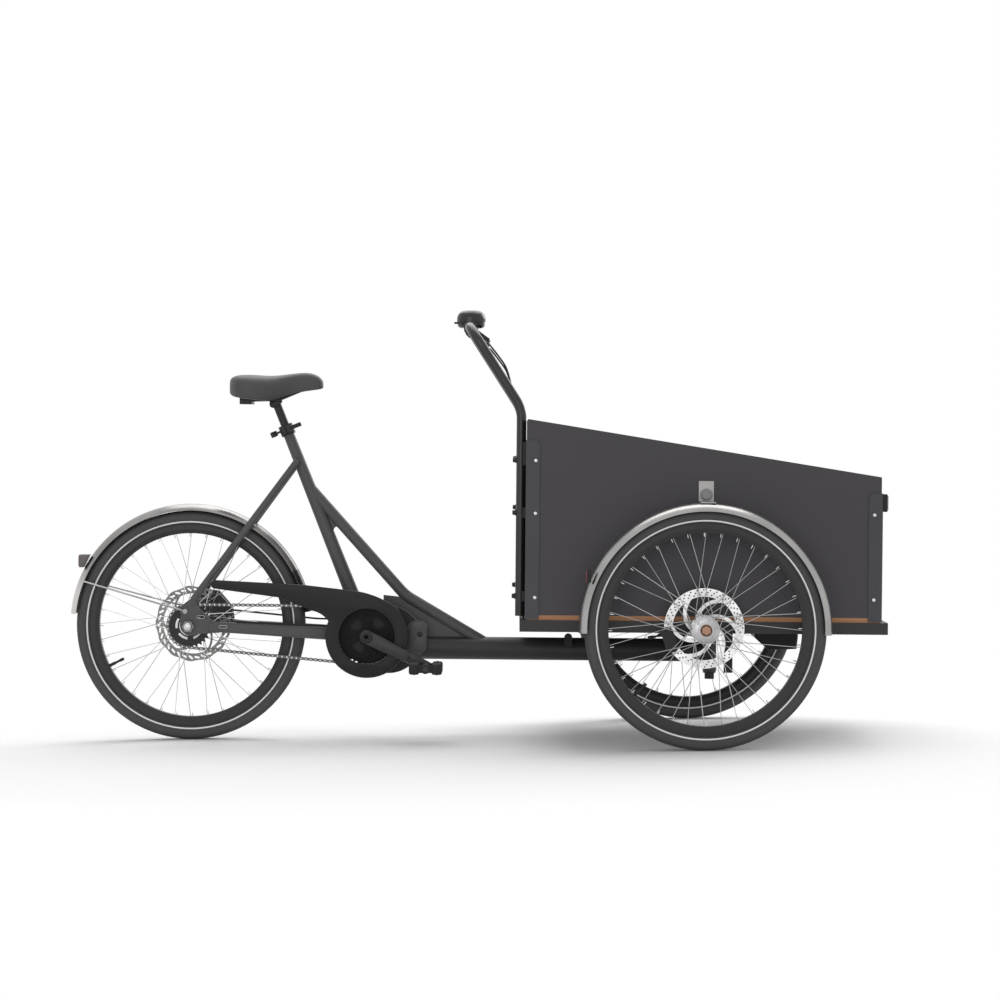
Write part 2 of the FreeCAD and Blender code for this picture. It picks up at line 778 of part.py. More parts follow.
SKEWER_Y = -24.0
SKEWER_Z = 5.0
SKEWER_END = 34.0


def slab(items, z0, z1):
    """Prism of an outline in the x-y plane."""
    face = Part.Face(wire(items, lambda x, y: V(x, y, z0)))
    return face.extrude(V(0, 0, z1 - z0))


def make_seat_clamp():
    """Slit collar with two ears, skewer, sleeve nut, eye and lever pin."""
    collar = Part.makeCylinder(SEAT_TOP_D / 2 + 5, SEAT_UP + 10, V(0, 0, -10))
    ears = box(-11, 11, SKEWER_Y - 7, -10, SKEWER_Z - 9, SKEWER_Z + 9)
    body = collar.fuse(ears).cut(box(-1.2, 1.2, SKEWER_Y - 8, 0, -11, SEAT_UP + 1))
    skewer = rod(V(-SKEWER_END, SKEWER_Y, SKEWER_Z), V(42, SKEWER_Y, SKEWER_Z), 3)
    nut = rod(V(11, SKEWER_Y, SKEWER_Z), V(42, SKEWER_Y, SKEWER_Z), 5.5)
    eye = Part.makeCylinder(6.5, 6, V(-SKEWER_END, SKEWER_Y, SKEWER_Z - 3))
    pin = Part.makeCylinder(3, 15, V(-SKEWER_END, SKEWER_Y, SKEWER_Z - 7.5))
    body = on_seat(fused([body, skewer, nut, eye, pin]))
    return body.cut(tube_cone())


def make_seat_clamp_lever():
    """Forked cam lever lying behind the seat tube."""
    x = -SKEWER_END
    fork = slab(slot_outline(x, SKEWER_Y, 9.0, x - 5, SKEWER_Y + 20, 6.0), SKEWER_Z - 7, SKEWER_Z + 7)
    fork = fork.cut(Part.makeCylinder(10.5, 6.8, V(x, SKEWER_Y, SKEWER_Z - 3.4)))
    outline = slot_outline(x - 5, SKEWER_Y + 20, 6.0, x - 2, SKEWER_Y + 58, 4.5)
    handle = slab(outline, SKEWER_Z - 5, SKEWER_Z + 5)
    body = fused([fork, handle])
    return on_seat(body.cut(Part.makeCylinder(3 + RUN_FIT, 20, V(x, SKEWER_Y, SKEWER_Z - 10))))


def mudguard(centre, r, lip_r, width, start, end):
    """Half-round mudguard strip between two polar angles about the axle."""
    w = width / 2
    outline = [
        (-w, lip_r),
        (0, r, w, lip_r),
        (w - MUD_T, lip_r),
        (0, r - MUD_T, MUD_T - w, lip_r),
    ]
    face = Part.Face(wire(outline, lambda y, k: centre + V(0, y, k)))
    body = face.revolve(centre, ACROSS, start - end)
    body.rotate(centre, ACROSS, 90 - start)
    return body


def polar(r, angle, y=0.0):
    """Point at a polar angle about the rear axle."""
    a = math.radians(angle)
    return V(r * math.cos(a), y, WHEEL_R + r * math.sin(a))


def make_rear_mudguard():
    """Rear mudguard with two wire stays to the dropout eyelets."""
    centre = V(0, 0, WHEEL_R)
    made = [mudguard(centre, REAR_MUD_R, REAR_MUD_LIP_R, REAR_MUD_W, 175, 7)]
    face = DROP_IN + DROP_T
    x = STAY_LOW_X - 20
    z = WHEEL_R + 40
    for side in (1, -1):
        edge = polar(REAR_MUD_LIP_R + 1, 158, side * (REAR_MUD_W / 2))
        made.append(rod(edge, V(x, side * (face + 5), z), 2.5))
        made.append(rod(V(x, side * face, z), V(x, side * (face + 8), z), 6.5))
    return fused(made)


def make_rear_lamp():
    """Lamp seated on the crown of the rear mudguard."""
    outline = [
        (-16, REAR_MUD_R - 9),
        (16, REAR_MUD_R - 9),
        (16, REAR_MUD_R + 8),
        (0, REAR_MUD_R + 17, -16, REAR_MUD_R + 8),
    ]
    centre = V(0, 0, WHEEL_R)
    body = Part.Face(wire(outline, lambda x, r: centre + V(x, -21, r))).extrude(V(0, 42, 0))
    w = REAR_MUD_W / 2
    core = turned([(-w, REAR_MUD_LIP_R), (0, REAR_MUD_R, w, REAR_MUD_LIP_R)], centre)
    body = body.cut(core)
    body = max(body.Solids, key=lambda s: s.BoundBox.ZMax)
    body.rotate(centre, ACROSS, 90 - 149.5)
    return body


def rotor_gap(x, z, y):
    """Space kept free round a rotor inside a caliper."""
    return Part.makeCylinder(ROTOR_R + 2, ROTOR_T + 1.4, V(x, y - ROTOR_T / 2 - 0.7, z), ACROSS)


def make_rear_caliper():
    """Caliper on the left dropout, straddling the rotor."""
    x = STAY_LOW_X
    outline = slot_outline(x + 50, WHEEL_R + 66, 16.0, x + 80, WHEEL_R + 36, 14.0)
    body = plate(outline, REAR_ROTOR_Y - 13, DROP_IN)
    return body.cut(rotor_gap(0, WHEEL_R, REAR_ROTOR_Y))


def make_rear_axle():
    """Fixed axle with inner collars and outer nuts."""
    face = DROP_IN + DROP_T
    made = [rod(V(0, -face - 19, WHEEL_R), V(0, face + 19, WHEEL_R), AXLE_D / 2)]
    for side in (1, -1):
        made.append(rod(V(0, side * (DROP_IN - 4 + GAP), WHEEL_R), V(0, side * DROP_IN, WHEEL_R), 9.5))
        nut = Part.makePolygon([V(a, side * face, WHEEL_R + b) for a, b in hexagon(16)])
        made.append(Part.Face(nut).extrude(V(0, side * 11, 0)))
    return fused(made)


def make_rear_hoses():
    """Brake hose from the left caliper and motor cable on the right chain stay."""
    x = STAY_LOW_X + 88
    end_x = CRANK_X - 50
    hose = bent([
        V(x, REAR_ROTOR_Y - 6, WHEEL_R + 38),
        V(CRANK_X - 140, REAR_ROTOR_Y - 6, CRANK_Z + 38),
        V(end_x, MOTOR_HALF_W - 2, CRANK_Z + 38),
    ], [120.0], HOSE_D / 2)
    hose = hose.cut(motor_body(STRAP_T, MAIN_D)).cut(make_rear_caliper())
    rear, front = chainstay_line(-1, 1)
    lift = UP * (CHAINSTAY_W / 2 + HOSE_D / 2 - 0.1)
    cable = rod(rear + (front - rear) * 0.18 + lift, front + lift, HOSE_D / 2)
    cable = cable.cut(motor_body(STRAP_T, MAIN_D)).cut(make_chain_stays())
    return Part.makeCompound(hose.Solids[:1] + [max(cable.Solids, key=lambda s: s.Volume)])


def make_steering_stop():
    """Rubber bump stop on the side of the main tube."""
    x = PIVOT_X - 375
    outline = [
        (x - 10.5, MAIN_Z + 6),
        (x + 10.5, MAIN_Z + 6),
        (x + 10.5, MAIN_Z + 32),
        (x, MAIN_Z + 42.5, x - 10.5, MAIN_Z + 32),
    ]
    body = plate(outline, -MAIN_D / 2 - 14, -MAIN_D / 4)
    return max(body.cut(main_body()).Solids, key=lambda s: s.Volume)


def saddle_pivot():
    """Tilt axis point of the saddle clamp."""
    return V(SADDLE_PIVOT_X, 0, SADDLE_PIVOT_Z - 4)


def make_seat_post():
    """Round post with a cross eye for the saddle clamp."""
    p = saddle_pivot()
    post = rod(seat_at(POST_IN), seat_at(-POST_OUT), POST_D / 2)
    eye = rod(p - ACROSS * 12, p + ACROSS * 12, 9)
    return fused([post, eye]).cut(rod(p - ACROSS * 20, p + ACROSS * 20, 4 + RUN_FIT))


def make_saddle_cover():
    """Padded saddle: crowned top, drawn-in sides, narrow nose."""
    span = SADDLE_NOSE_X - SADDLE_REAR_X
    base = SADDLE_PIVOT_Z
    stations = (
        (0.000, 0.58, 52, 26),
        (0.080, 0.92, 71, 15),
        (0.250, 1.00, 73, 10),
        (0.430, 0.86, 70, 12),
        (0.590, 0.58, 74, 24),
        (0.750, 0.39, 80, 33),
        (0.890, 0.30, 77, 36),
        (1.000, 0.20, 58, 39),
    )
    rings = []
    for k, wide, top, low in stations:
        x = SADDLE_REAR_X + span * k
        w = max(SADDLE_HALF_W * wide, NOSE_HALF_W * 0.8)
        z0 = base + low
        z1 = base + top
        h = z1 - z0
        outline = [
            (-0.72 * w, z0),
            (0.72 * w, z0),
            (0.98 * w, z0 + 0.34 * h, 0.9 * w, z0 + 0.72 * h),
            (0, z1, -0.9 * w, z0 + 0.72 * h),
            (-0.98 * w, z0 + 0.34 * h, -0.72 * w, z0),
        ]
        rings.append(wire(outline, lambda y, z: V(x, y, z)))
    return Part.makeLoft(rings, True, False)


def make_saddle_frame():
    """Clamp on the post eye, two rails and a rear bracket under the cover."""
    p = saddle_pivot()
    x = p.x
    made = [box(x - 18, x + 18, -29, 29, p.z + 9.6, p.z + 20)]
    for side in (1, -1):
        y = sorted((side * 12.4, side * 17.0))
        made.append(plate(slot_outline(x, p.z, 9.0, x, p.z + 12, 8.9), y[0], y[1]))
        made.append(bent([
            V(SADDLE_REAR_X + 30, side * 30, p.z + 10),
            V(x + 14, side * 24, p.z + 13),
            V(SADDLE_NOSE_X - 22, side * 8, p.z + 52),
        ], [60.0], 3.5))
    made.append(rod(p - ACROSS * 17, p + ACROSS * 17, 4))
    made.append(box(SADDLE_REAR_X + 24, SADDLE_REAR_X + 56, -38, 38, p.z, p.z + 24))
    return fused(made).cut(make_saddle_cover())


def channel(x0, x1, half, z0, z1):
    """Cross member open underneath."""
    w = 4.0
    return box(x0, x1, -half, half, z0, z1).cut(box(x0 + w, x1 - w, -half, half, z0, z1 - w))


def pivot_beam_end():
    """Front edge of the plate that carries the kingpin."""
    return PIVOT_X + 66


def make_chassis_frame():
    """Two square rails, cross members, pivot plate, hose hanger and the stub axles."""
    rail = box(RAIL_X0, RAIL_X1, RAIL_IN, RAIL_OUT, RAIL_LOW, RAIL_TOP)
    w = RAIL_WALL
    rail = rail.cut(box(RAIL_X0, RAIL_X1, RAIL_IN + w, RAIL_OUT - w, RAIL_LOW + w, RAIL_TOP - w))
    made = both_sides(rail)
    for x0, x1 in ((RAIL_X0, RAIL_X0 + RAIL), (FRONT_X - 16, FRONT_X + 16), (RAIL_X1 - RAIL, RAIL_X1)):
        made.append(channel(x0, x1, RAIL_IN, RAIL_LOW, RAIL_TOP))
    made.append(box(FRONT_X + 16, pivot_beam_end(), -RAIL_IN, RAIL_IN, RAIL_TOP - 12, RAIL_TOP))
    made.append(box(PIVOT_X + 38, PIVOT_X + 61, -4, 4, HEAD_LOW - 4, RAIL_TOP - 12))
    for side in (1, -1):
        face = side * RAIL_OUT
        end = side * (HALF_TRACK + 36 + GAP)
        made.append(rod(V(FRONT_X, face, FRONT_Z), V(FRONT_X, end, FRONT_Z), STUB_D / 2))
        made.append(rod(V(FRONT_X, face, FRONT_Z), V(FRONT_X, side * (HALF_TRACK - 50 - GAP), FRONT_Z), 20))
        made.append(rod(V(FRONT_X, end, FRONT_Z), V(FRONT_X, end + side * 5, FRONT_Z), 14))
    body = fused(made)
    return body.cut(rod(V(PIVOT_X, 0, RAIL_LOW), V(PIVOT_X, 0, RAIL_TOP), KINGPIN_D / 2))


def make_kingpin():
    """Hollow kingpin with a thrust collar, lower washer and nut."""
    def at(z):
        return V(PIVOT_X, 0, z)

    nut = Part.makePolygon([V(PIVOT_X + a, b, HEAD_LOW - 20) for a, b in hexagon(14, 30)])
    made = [
        rod(at(HEAD_LOW - 4), at(RAIL_TOP), KINGPIN_D / 2),
        rod(at(HEAD_HIGH + GAP), at(RAIL_TOP - 12), HEAD_D / 2 + 4),
        rod(at(HEAD_LOW - 4), at(HEAD_LOW - GAP), HEAD_D / 2 - 1),
        Part.Face(nut).extrude(V(0, 0, 16)),
    ]
    return fused(made).cut(rod(at(HEAD_LOW - 20), at(RAIL_TOP), KINGPIN_D / 2 - 4.5))


def make_box_floor():
    """Plywood floor with a shallow rebate for the wall panels."""
    body = box(BOX_X0, BOX_X1, -BOX_HALF, BOX_HALF, RAIL_TOP, FLOOR_TOP)
    step = box(BOX_X0, BOX_X1, -BOX_HALF, BOX_HALF, FLOOR_TOP - REBATE, FLOOR_TOP)
    inner = box(BOX_X0 + PLY, BOX_X1 - PLY, PLY - BOX_HALF, BOX_HALF - PLY, FLOOR_TOP - REBATE, FLOOR_TOP)
    return body.cut(step.cut(inner))


def wall_top(x):
    """Height of the sloping top edge of the box at x."""
    return BOX_REAR_Z + (BOX_FRONT_Z - BOX_REAR_Z) * (x - BOX_X0) / (BOX_X1 - BOX_X0)


def make_box_sides():
    """Side panels with sloping top edges and rounded top corners."""
    z0 = FLOOR_TOP - REBATE
    outline = [
        (BOX_X0, z0),
        (BOX_X1, z0),
        (BOX_X1, BOX_FRONT_Z - 3),
        (BOX_X1 - 0.8, wall_top(BOX_X1) - 0.8, BOX_X1 - 3, wall_top(BOX_X1 - 3)),
        (BOX_X0 + 4, wall_top(BOX_X0 + 4)),
        (BOX_X0 + 1.2, wall_top(BOX_X0) - 1.2, BOX_X0, BOX_REAR_Z - 4),
    ]
    return Part.makeCompound(both_sides(plate(outline, BOX_HALF - PLY, BOX_HALF)))


def make_box_ends():
    """Rear and front panels between the side panels."""
    z0 = FLOOR_TOP - REBATE
    half = BOX_HALF - PLY
    rear = box(BOX_X0, BOX_X0 + PLY, -half, half, z0, BOX_REAR_Z - 4)
    front = box(BOX_X1 - PLY, BOX_X1, -half, half, z0, BOX_FRONT_Z - 3)
    return Part.makeCompound([rear, front])


def make_corner_posts():
    """Four angle strips outside the box corners, with rounded tops."""
    t = POST_STRIP_T
    z0 = RAIL_TOP + 2.5
    w = POST_STRIP_W
    made = []
    for x, way, top in ((BOX_X0, 1, POST_REAR_Z), (BOX_X1, -1, POST_FRONT_Z)):
        outline = [
            (x - way * t, z0),
            (x + way * w, z0),
            (x + way * w, top - 14),
            (x + way * (w - 6), top - 4, x + way * (w - 18), top),
            (x - way * t, top),
        ]
        side = plate(outline, BOX_HALF, BOX_HALF + t)
        ends = sorted((x - way * t, x))
        end = box(ends[0], ends[1], BOX_HALF - w + 8, BOX_HALF + t, z0, top)
        made += both_sides(fused([side, end]))
    return Part.makeCompound(made)


def bar_path():
    """Corner points of the handlebar centre line, right foot to left foot."""
    y = BAR_LEG_Y
    return [
        V(BAR_LEG_X, -y, BAR_FOOT_Z),
        V(BAR_LEG_X, -y, BAR_BEND_Z),
        V(BAR_X, -y, BAR_Z),
        V(BAR_X, y, BAR_Z),
        V(BAR_LEG_X, y, BAR_BEND_Z),
        V(BAR_LEG_X, y, BAR_FOOT_Z),
    ]


CLAMP_ABOVE_RAIL = ((44.5, 70.5), (257.5, 283.5), (391.5, 450.5))
CLAMP_HEIGHTS = [(RAIL_TOP + low, RAIL_TOP + high) for low, high in CLAMP_ABOVE_RAIL]
CLAMP_RISE = 13.0


def leg_rod(low, high):
    """Solid the size of the left handlebar leg between two heights."""
    return rod(V(BAR_LEG_X, BAR_LEG_Y, low), V(BAR_LEG_X, BAR_LEG_Y, high), BAR_D / 2)


def clamp_bolt(z):
    """Left bolt through a handlebar leg to the box wall, with its cap and washer."""
    head = V(BAR_LEG_X - BAR_D / 2 - 9, BAR_LEG_Y, z)
    shank = rod(head, V(BOX_X0, BAR_LEG_Y, z), BAR_BOLT_D / 2)
    cap = rod(head, head + V(6, 0, 0), BAR_BOLT_D)
    washer = rod(head + V(6, 0, 0), V(BAR_LEG_X, BAR_LEG_Y, z), BAR_BOLT_D + 1.5)
    return fused([shank, cap, washer.cut(leg_rod(z - BAR_D, z + BAR_D))])


def make_handlebar():
    """Portal handlebar: two legs on the box wall, raked back into a cross bar, bored for the bolts."""
    radii = [90.0, 60.0, 60.0, 90.0]
    body = bent(bar_path(), radii, BAR_D / 2).cut(bent(bar_path(), radii, BAR_D / 2 - BAR_WALL))
    for low, high in CLAMP_HEIGHTS:
        for y in (BAR_LEG_Y, -BAR_LEG_Y):
            z = low + CLAMP_RISE
            body = body.cut(rod(V(BAR_LEG_X - BAR_D, y, z), V(BOX_X0, y, z), BAR_BOLT_D / 2))
    return body


def make_handlebar_clamps():
    """Three bolts through each handlebar leg, with hollowed spacers against the box wall."""
    made = []
    for low, high in CLAMP_HEIGHTS:
        foot = box(BAR_LEG_X + 4, BOX_X0, BAR_LEG_Y - 12, BAR_LEG_Y + 12, low, high)
        made += both_sides(fused([foot.cut(leg_rod(low, high)), clamp_bolt(low + CLAMP_RISE)]))
    return Part.makeCompound(made)


def make_grips():
    """Two rubber grips on the cross bar."""
    y0 = MOUNT_Y + 18
    y1 = BAR_LEG_Y - 62
    body = turned([(y0, BAR_D / 2), (y0, BAR_D / 2 + 5), (y0 + 4, BAR_D / 2 + 5), (y0 + 6, BAR_D / 2 + 3.5),
                   (y1 - 3, BAR_D / 2 + 3.5), (y1, BAR_D / 2 + 1.5), (y1, BAR_D / 2)], BAR)
    return Part.makeCompound(both_sides(body))


def on_bar(shape):
    """Place a shape drawn about the cross bar, local x towards the lever and local z along its pivot."""
    shape.rotate(V(0, 0, 0), ACROSS, LEVER_DROP)
    shape.translate(BAR)
    return shape


def make_brake_mounts():
    """Lever clamps with reservoir arms and pivot pins."""
    y0 = MOUNT_Y - 12
    y1 = MOUNT_Y + 12
    ring = rod(V(0, y0, 0), V(0, y1, 0), BAR_D / 2 + 5)
    arm = box(8, LEVER_REACH + 8, y0, y1, -9, 9)
    reservoir = rod(V(LEVER_REACH - 20, y0 - 26, 0), V(LEVER_REACH - 20, y0 + 6, 0), 9)
    body = fused([ring, arm, reservoir])
    body = body.cut(box(LEVER_REACH - 14, LEVER_REACH + 20, y0 - 1, y1 + 1, -4.4, 4.4))
    body = body.fuse(Part.makeCylinder(3, 18, V(LEVER_REACH, MOUNT_Y, -9)))
    body = body.cut(rod(V(0, y0 - 30, 0), V(0, y1, 0), BAR_D / 2))
    return Part.makeCompound(both_sides(on_bar(body.removeSplitter())))


def make_brake_lever():
    """Left lever blade, bored for its pin."""
    blade = slab(slot_outline(LEVER_REACH, MOUNT_Y, 8.0, LEVER_REACH + 6, MOUNT_Y + LEVER_LONG, 5.0), -4, 4)
    return on_bar(blade.cut(Part.makeCylinder(3 + RUN_FIT, 8, V(LEVER_REACH, MOUNT_Y, -4))))


def bell_at(z):
    """Point on the bell axis, z above the cross bar top."""
    return V(BAR_X, BELL_Y, BAR_Z + BAR_D / 2 + z)


def make_bell():
    """Bell housing clamped on the cross bar, with its dome on a stem above the striker ring."""
    bar = rod(V(BAR_X, BELL_Y - BELL_R, BAR_Z), V(BAR_X, BELL_Y + BELL_R, BAR_Z), BAR_D / 2)
    ring = rod(V(BAR_X, BELL_Y - 10, BAR_Z), V(BAR_X, BELL_Y + 10, BAR_Z), BAR_D / 2 + 3)
    stem = rod(bell_at(2), bell_at(RING_Z + RING_T + GAP), RING_BORE_R)
    housing = [
        (0, -7.5),
        (BELL_R - 12, -7.5),
        (BELL_R - 4.5, -4.5, BELL_R - 2, 0),
        (BELL_R - 2, RING_Z - GAP),
        (0, RING_Z - GAP),
    ]
    low = RING_Z + RING_T + GAP
    dome = [
        (0, low),
        (BELL_R, low),
        (BELL_R, low + 7),
        (BELL_R * 0.8, BELL_H - 5, BELL_R * 0.25, BELL_H),
        (0, BELL_H),
    ]
    shells = [bell_turned(housing), bell_turned(dome)]
    return fused([ring, stem] + shells).cut(bar)


def bell_turned(outline):
    """Solid turned from an (r, z) outline about the bell axis."""
    face = Part.Face(wire(outline, lambda r, z: bell_at(z) + V(r, 0, 0)))
    return face.revolve(bell_at(0), UP, 360)


def make_bell_lever():
    """Striker ring turning on the bell stem, with a thumb tab."""
    tab = slab(slot_outline(-20, 0, 9.0, -BELL_R - 1, -3, 6.0), RING_Z, RING_Z + RING_T)
    disc = Part.makeCylinder(BELL_R - 2.5, RING_T, V(0, 0, RING_Z))
    body = disc.fuse(tab).cut(Part.makeCylinder(RING_BORE_R + RUN_FIT, RING_Z + RING_T, V(0, 0, 0)))
    body.translate(bell_at(0))
    return body.removeSplitter()


def make_front_mudguards():
    """Half-round mudguards with angle brackets to the box sides."""
    centre = V(FRONT_X, HALF_TRACK, FRONT_Z)
    guard = mudguard(centre, FRONT_MUD_R, FRONT_MUD_LIP_R, FRONT_MUD_W, 182, -2)
    x0 = FRONT_X - 15
    x1 = FRONT_X + 23
    top = FRONT_Z + FRONT_MUD_R
    up = box(x0, x1, BOX_HALF, BOX_HALF + 3, top - 1, top + 53)
    out = box(x0, x1, BOX_HALF, HALF_TRACK + 14, top - 1, top + 2)
    w = FRONT_MUD_W / 2
    core = turned([(-w, FRONT_MUD_LIP_R), (0, FRONT_MUD_R, w, FRONT_MUD_LIP_R)], centre)
    bracket = fused([up, out]).cut(core)
    bracket = max(bracket.Solids, key=lambda s: s.Volume)
    return Part.makeCompound(both_sides(fused([guard, bracket])))


def make_front_calipers():
    """Calipers behind the front axle on plates from the rails."""
    y = HALF_TRACK - FRONT_ROTOR_IN
    x = FRONT_X
    z = FRONT_Z
    arm = plate(slot_outline(x - 76, z - 26, 18.0, x - 40, z, 14.0), RAIL_OUT, RAIL_OUT + 6)
    body = plate(slot_outline(x - 93, z - 12, 15.0, x - 80, z - 46, 14.9), RAIL_OUT + 6, y + 11)
    return Part.makeCompound(both_sides(fused([arm, body]).cut(rotor_gap(x, z, y))))


CASE_HALF = 110.0


def make_battery_case():
    """Wedge-fronted case under the box floor."""
    x = PIVOT_X + 110
    outline = [
        (x, RAIL_TOP),
        (x, RAIL_LOW - 25),
        (x + 37, RAIL_LOW - 58),
        (x + 110, RAIL_LOW - 54.5),
        (x + 113.5, RAIL_LOW - 24),
        (x + 113.5, RAIL_TOP),
    ]
    return plate(outline, -CASE_HALF, CASE_HALF)


def make_front_hoses():
    """Brake hoses from the levers down the handlebar legs, and from the calipers to the case."""
    z = RAIL_LOW - 15
    x = FRONT_X - 136
    low = bent([
        V(FRONT_X - 100, RAIL_OUT + 15, FRONT_Z - 12),
        V(x, RAIL_OUT + 15, z),
        V(x, RAIL_IN - 45, z),
        V(PIVOT_X + 80, CASE_HALF - 50, z),
        V(PIVOT_X + 116, CASE_HALF - 50, z),
    ], [18.0, 30.0, 30.0], HOSE_D / 2, 6)
    low = low.cut(make_front_calipers()).cut(make_battery_case())
    start = BAR + LEVER_OUT * (LEVER_REACH - 20) + V(0, MOUNT_Y - 36, 0)
    leg_y = BAR_LEG_Y - BAR_D / 2 - HOSE_D
    high = bent([
        start,
        start - V(0, 8, 0) + LEVER_OUT * 2,
        start + V(22, 0, -30),
        V(BAR_X + 50, leg_y, BAR_Z - 42),
        V(BAR_LEG_X - 40, leg_y, BAR_BEND_Z + 106),
        V(BAR_LEG_X, leg_y, BAR_BEND_Z - 40),
        V(BAR_LEG_X, leg_y, RAIL_TOP + 50),
        V(BAR_LEG_X + 9, leg_y, RAIL_TOP + 20),
        V(BAR_LEG_X + 9, leg_y, RAIL_TOP),
    ], [5.0, 14.0, 50.0, 90.0, 90.0, 40.0, 40.0], HOSE_D / 2, 6)
    high = high.cut(make_brake_mounts())
    return Part.makeCompound(both_sides(low.Solids[0]) + both_sides(high.Solids[0]))


REAR = V(0, 0, WHEEL_R)
FRONT = V(FRONT_X, HALF_TRACK, FRONT_Z)


def build():
    """Every sub-part by node name, in level frame coordinates."""
    nodes = {
        "main_tube": make_main_tube(),
        "head_tube": make_head_tube(),
        "seat_tube": make_seat_tube(),
        "down_tube": make_down_tube(),
        "frame_plates": make_frame_plates(),
        "seat_stays": make_seat_stays(),
        "chain_stays": make_chain_stays(),
        "dropouts": make_dropouts(),
        "motor_housing": make_motor_housing(),
        "chain_guard": make_chain_guard(),
        "chain": make_chain(),
        "seat_clamp": make_seat_clamp(),
        "seat_clamp_lever": make_seat_clamp_lever(),
        "rear_mudguard": make_rear_mudguard(),
        "rear_lamp": make_rear_lamp(),
        "rear_caliper": make_rear_caliper(),
        "rear_axle": make_rear_axle(),
        "rear_hoses": make_rear_hoses(),
        "steering_stop": make_steering_stop(),
        "seat_post": make_seat_post(),
        "saddle_cover": make_saddle_cover(),
        "saddle_frame": make_saddle_frame(),
        "crankset": make_crankset(),
        "chainring": make_chainring(),
        "pedal_right": make_pedal(-1),
        "pedal_left": make_pedal(1),
        "rear_sprocket": make_rear_sprocket(),
        "rear_tyre": tyre(REAR),
        "rear_rim": rim(REAR),
        "rear_spokes": spokes(REAR, REAR_FLANGE_Y),
        "rear_hub": hub(REAR, AXLE_D / 2 + RUN_FIT, REAR_FLANGE_Y, 58, 58, REAR_ROTOR_Y - ROTOR_T / 2, 38),
        "rear_rotor": rotor(REAR, REAR_ROTOR_Y - ROTOR_T / 2, 20),
        "chassis_frame": make_chassis_frame(),
        "kingpin": make_kingpin(),
        "box_floor": make_box_floor(),
        "box_sides": make_box_sides(),
        "box_ends": make_box_ends(),
        "corner_posts": make_corner_posts(),
        "handlebar": make_handlebar(),
        "handlebar_clamps": make_handlebar_clamps(),
        "grips": make_grips(),
        "bell": make_bell(),
        "bell_lever": make_bell_lever(),
        "brake_mounts": make_brake_mounts(),
        "front_mudguards": make_front_mudguards(),
        "front_calipers": make_front_calipers(),
        "front_hoses": make_front_hoses(),
        "battery_case": make_battery_case(),
    }
    front_y = HALF_TRACK - FRONT_ROTOR_IN
    pairs = {
        "tyre": tyre(FRONT),
        "rim": rim(FRONT),
        "spokes": spokes(FRONT, FRONT_FLANGE_Y),
        "hub": hub(FRONT, STUB_D / 2 + RUN_FIT, FRONT_FLANGE_Y, 36, 50, 32, FRONT_ROTOR_IN - ROTOR_T / 2),
        "rotor": rotor(FRONT, front_y - ROTOR_T / 2, 0),
    }
    for name, shape in pairs.items():
        nodes["front_left_" + name], nodes["front_right_" + name] = both_sides(shape)
    nodes["brake_lever_left"], nodes["brake_lever_right"] = both_sides(make_brake_lever())
    return nodes


def to_ground(nodes):
    """Pitch the nodes onto the ground and return the shift to the bottom centre of their box."""
    ends = []
    for shape in nodes.values():
        shape.rotate(REAR, ACROSS, FRAME_PITCH)
    for name in ("rear_mudguard", "chassis_frame"):
        limits = nodes[name].optimalBoundingBox(False, False)
        ends += [limits.XMin, limits.XMax]
    return V(-(min(ends) + max(ends)) / 2, 0, 0)


os.makedirs("parts", exist_ok=True)
NODES = build()
SHIFT = to_ground(NODES)
for name, shape in NODES.items():
    shape.translate(SHIFT)
    shape.exportStep("parts/" + name + ".step")
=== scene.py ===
import json
import math

import bmesh
import bpy
from mathutils import Matrix, Vector


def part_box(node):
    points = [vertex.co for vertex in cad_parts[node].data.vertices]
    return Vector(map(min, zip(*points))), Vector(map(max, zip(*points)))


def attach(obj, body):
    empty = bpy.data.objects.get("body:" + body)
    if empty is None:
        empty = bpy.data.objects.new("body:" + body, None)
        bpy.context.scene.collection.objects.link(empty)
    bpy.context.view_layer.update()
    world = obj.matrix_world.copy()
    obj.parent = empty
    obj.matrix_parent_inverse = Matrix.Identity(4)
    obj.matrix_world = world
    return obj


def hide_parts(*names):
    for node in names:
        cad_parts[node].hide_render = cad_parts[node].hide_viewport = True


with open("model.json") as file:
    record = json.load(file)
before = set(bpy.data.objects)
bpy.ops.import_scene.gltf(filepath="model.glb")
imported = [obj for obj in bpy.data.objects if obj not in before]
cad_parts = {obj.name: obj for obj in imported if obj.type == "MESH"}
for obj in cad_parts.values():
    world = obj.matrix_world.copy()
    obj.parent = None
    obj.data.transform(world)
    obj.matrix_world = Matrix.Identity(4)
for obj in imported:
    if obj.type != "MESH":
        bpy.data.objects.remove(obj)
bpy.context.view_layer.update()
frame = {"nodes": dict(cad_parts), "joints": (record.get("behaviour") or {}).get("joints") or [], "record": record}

bl_info = {
    "name": "Cargo tricycle dresser",
    "version": (1, 0, 0),
    "blender": (4, 5, 0),
    "location": "View3D > Sidebar > Tricycle",
    "description": "Finishes and small parts for a box tricycle built on its CAD frame",
    "category": "Object",
}

NODES = frame["nodes"]
JOINTS = {j["name"]: j for j in frame["joints"]}
ACROSS = Vector((0, 1, 0))

# The tricycle stands slightly nose-down. Places are given level with its frame: x forward of the rear
# axle, y to the left, z above the ground under the rear wheel.
REAR_AXLE = Vector(JOINTS["rear_wheel_spin"]["pos_m"])
FRAME_UP = Vector(JOINTS["steering"]["axis"]).normalized()
FRAME_FORWARD = ACROSS.cross(FRAME_UP)
WHEEL_RADIUS = REAR_AXLE.z
LEVEL_TURN = Matrix((FRAME_FORWARD, ACROSS, FRAME_UP)).transposed()


def level(x, y, z):
    """Point of the level frame in the row frame."""
    return REAR_AXLE + FRAME_FORWARD * x + ACROSS * y + FRAME_UP * (z - WHEEL_RADIUS)


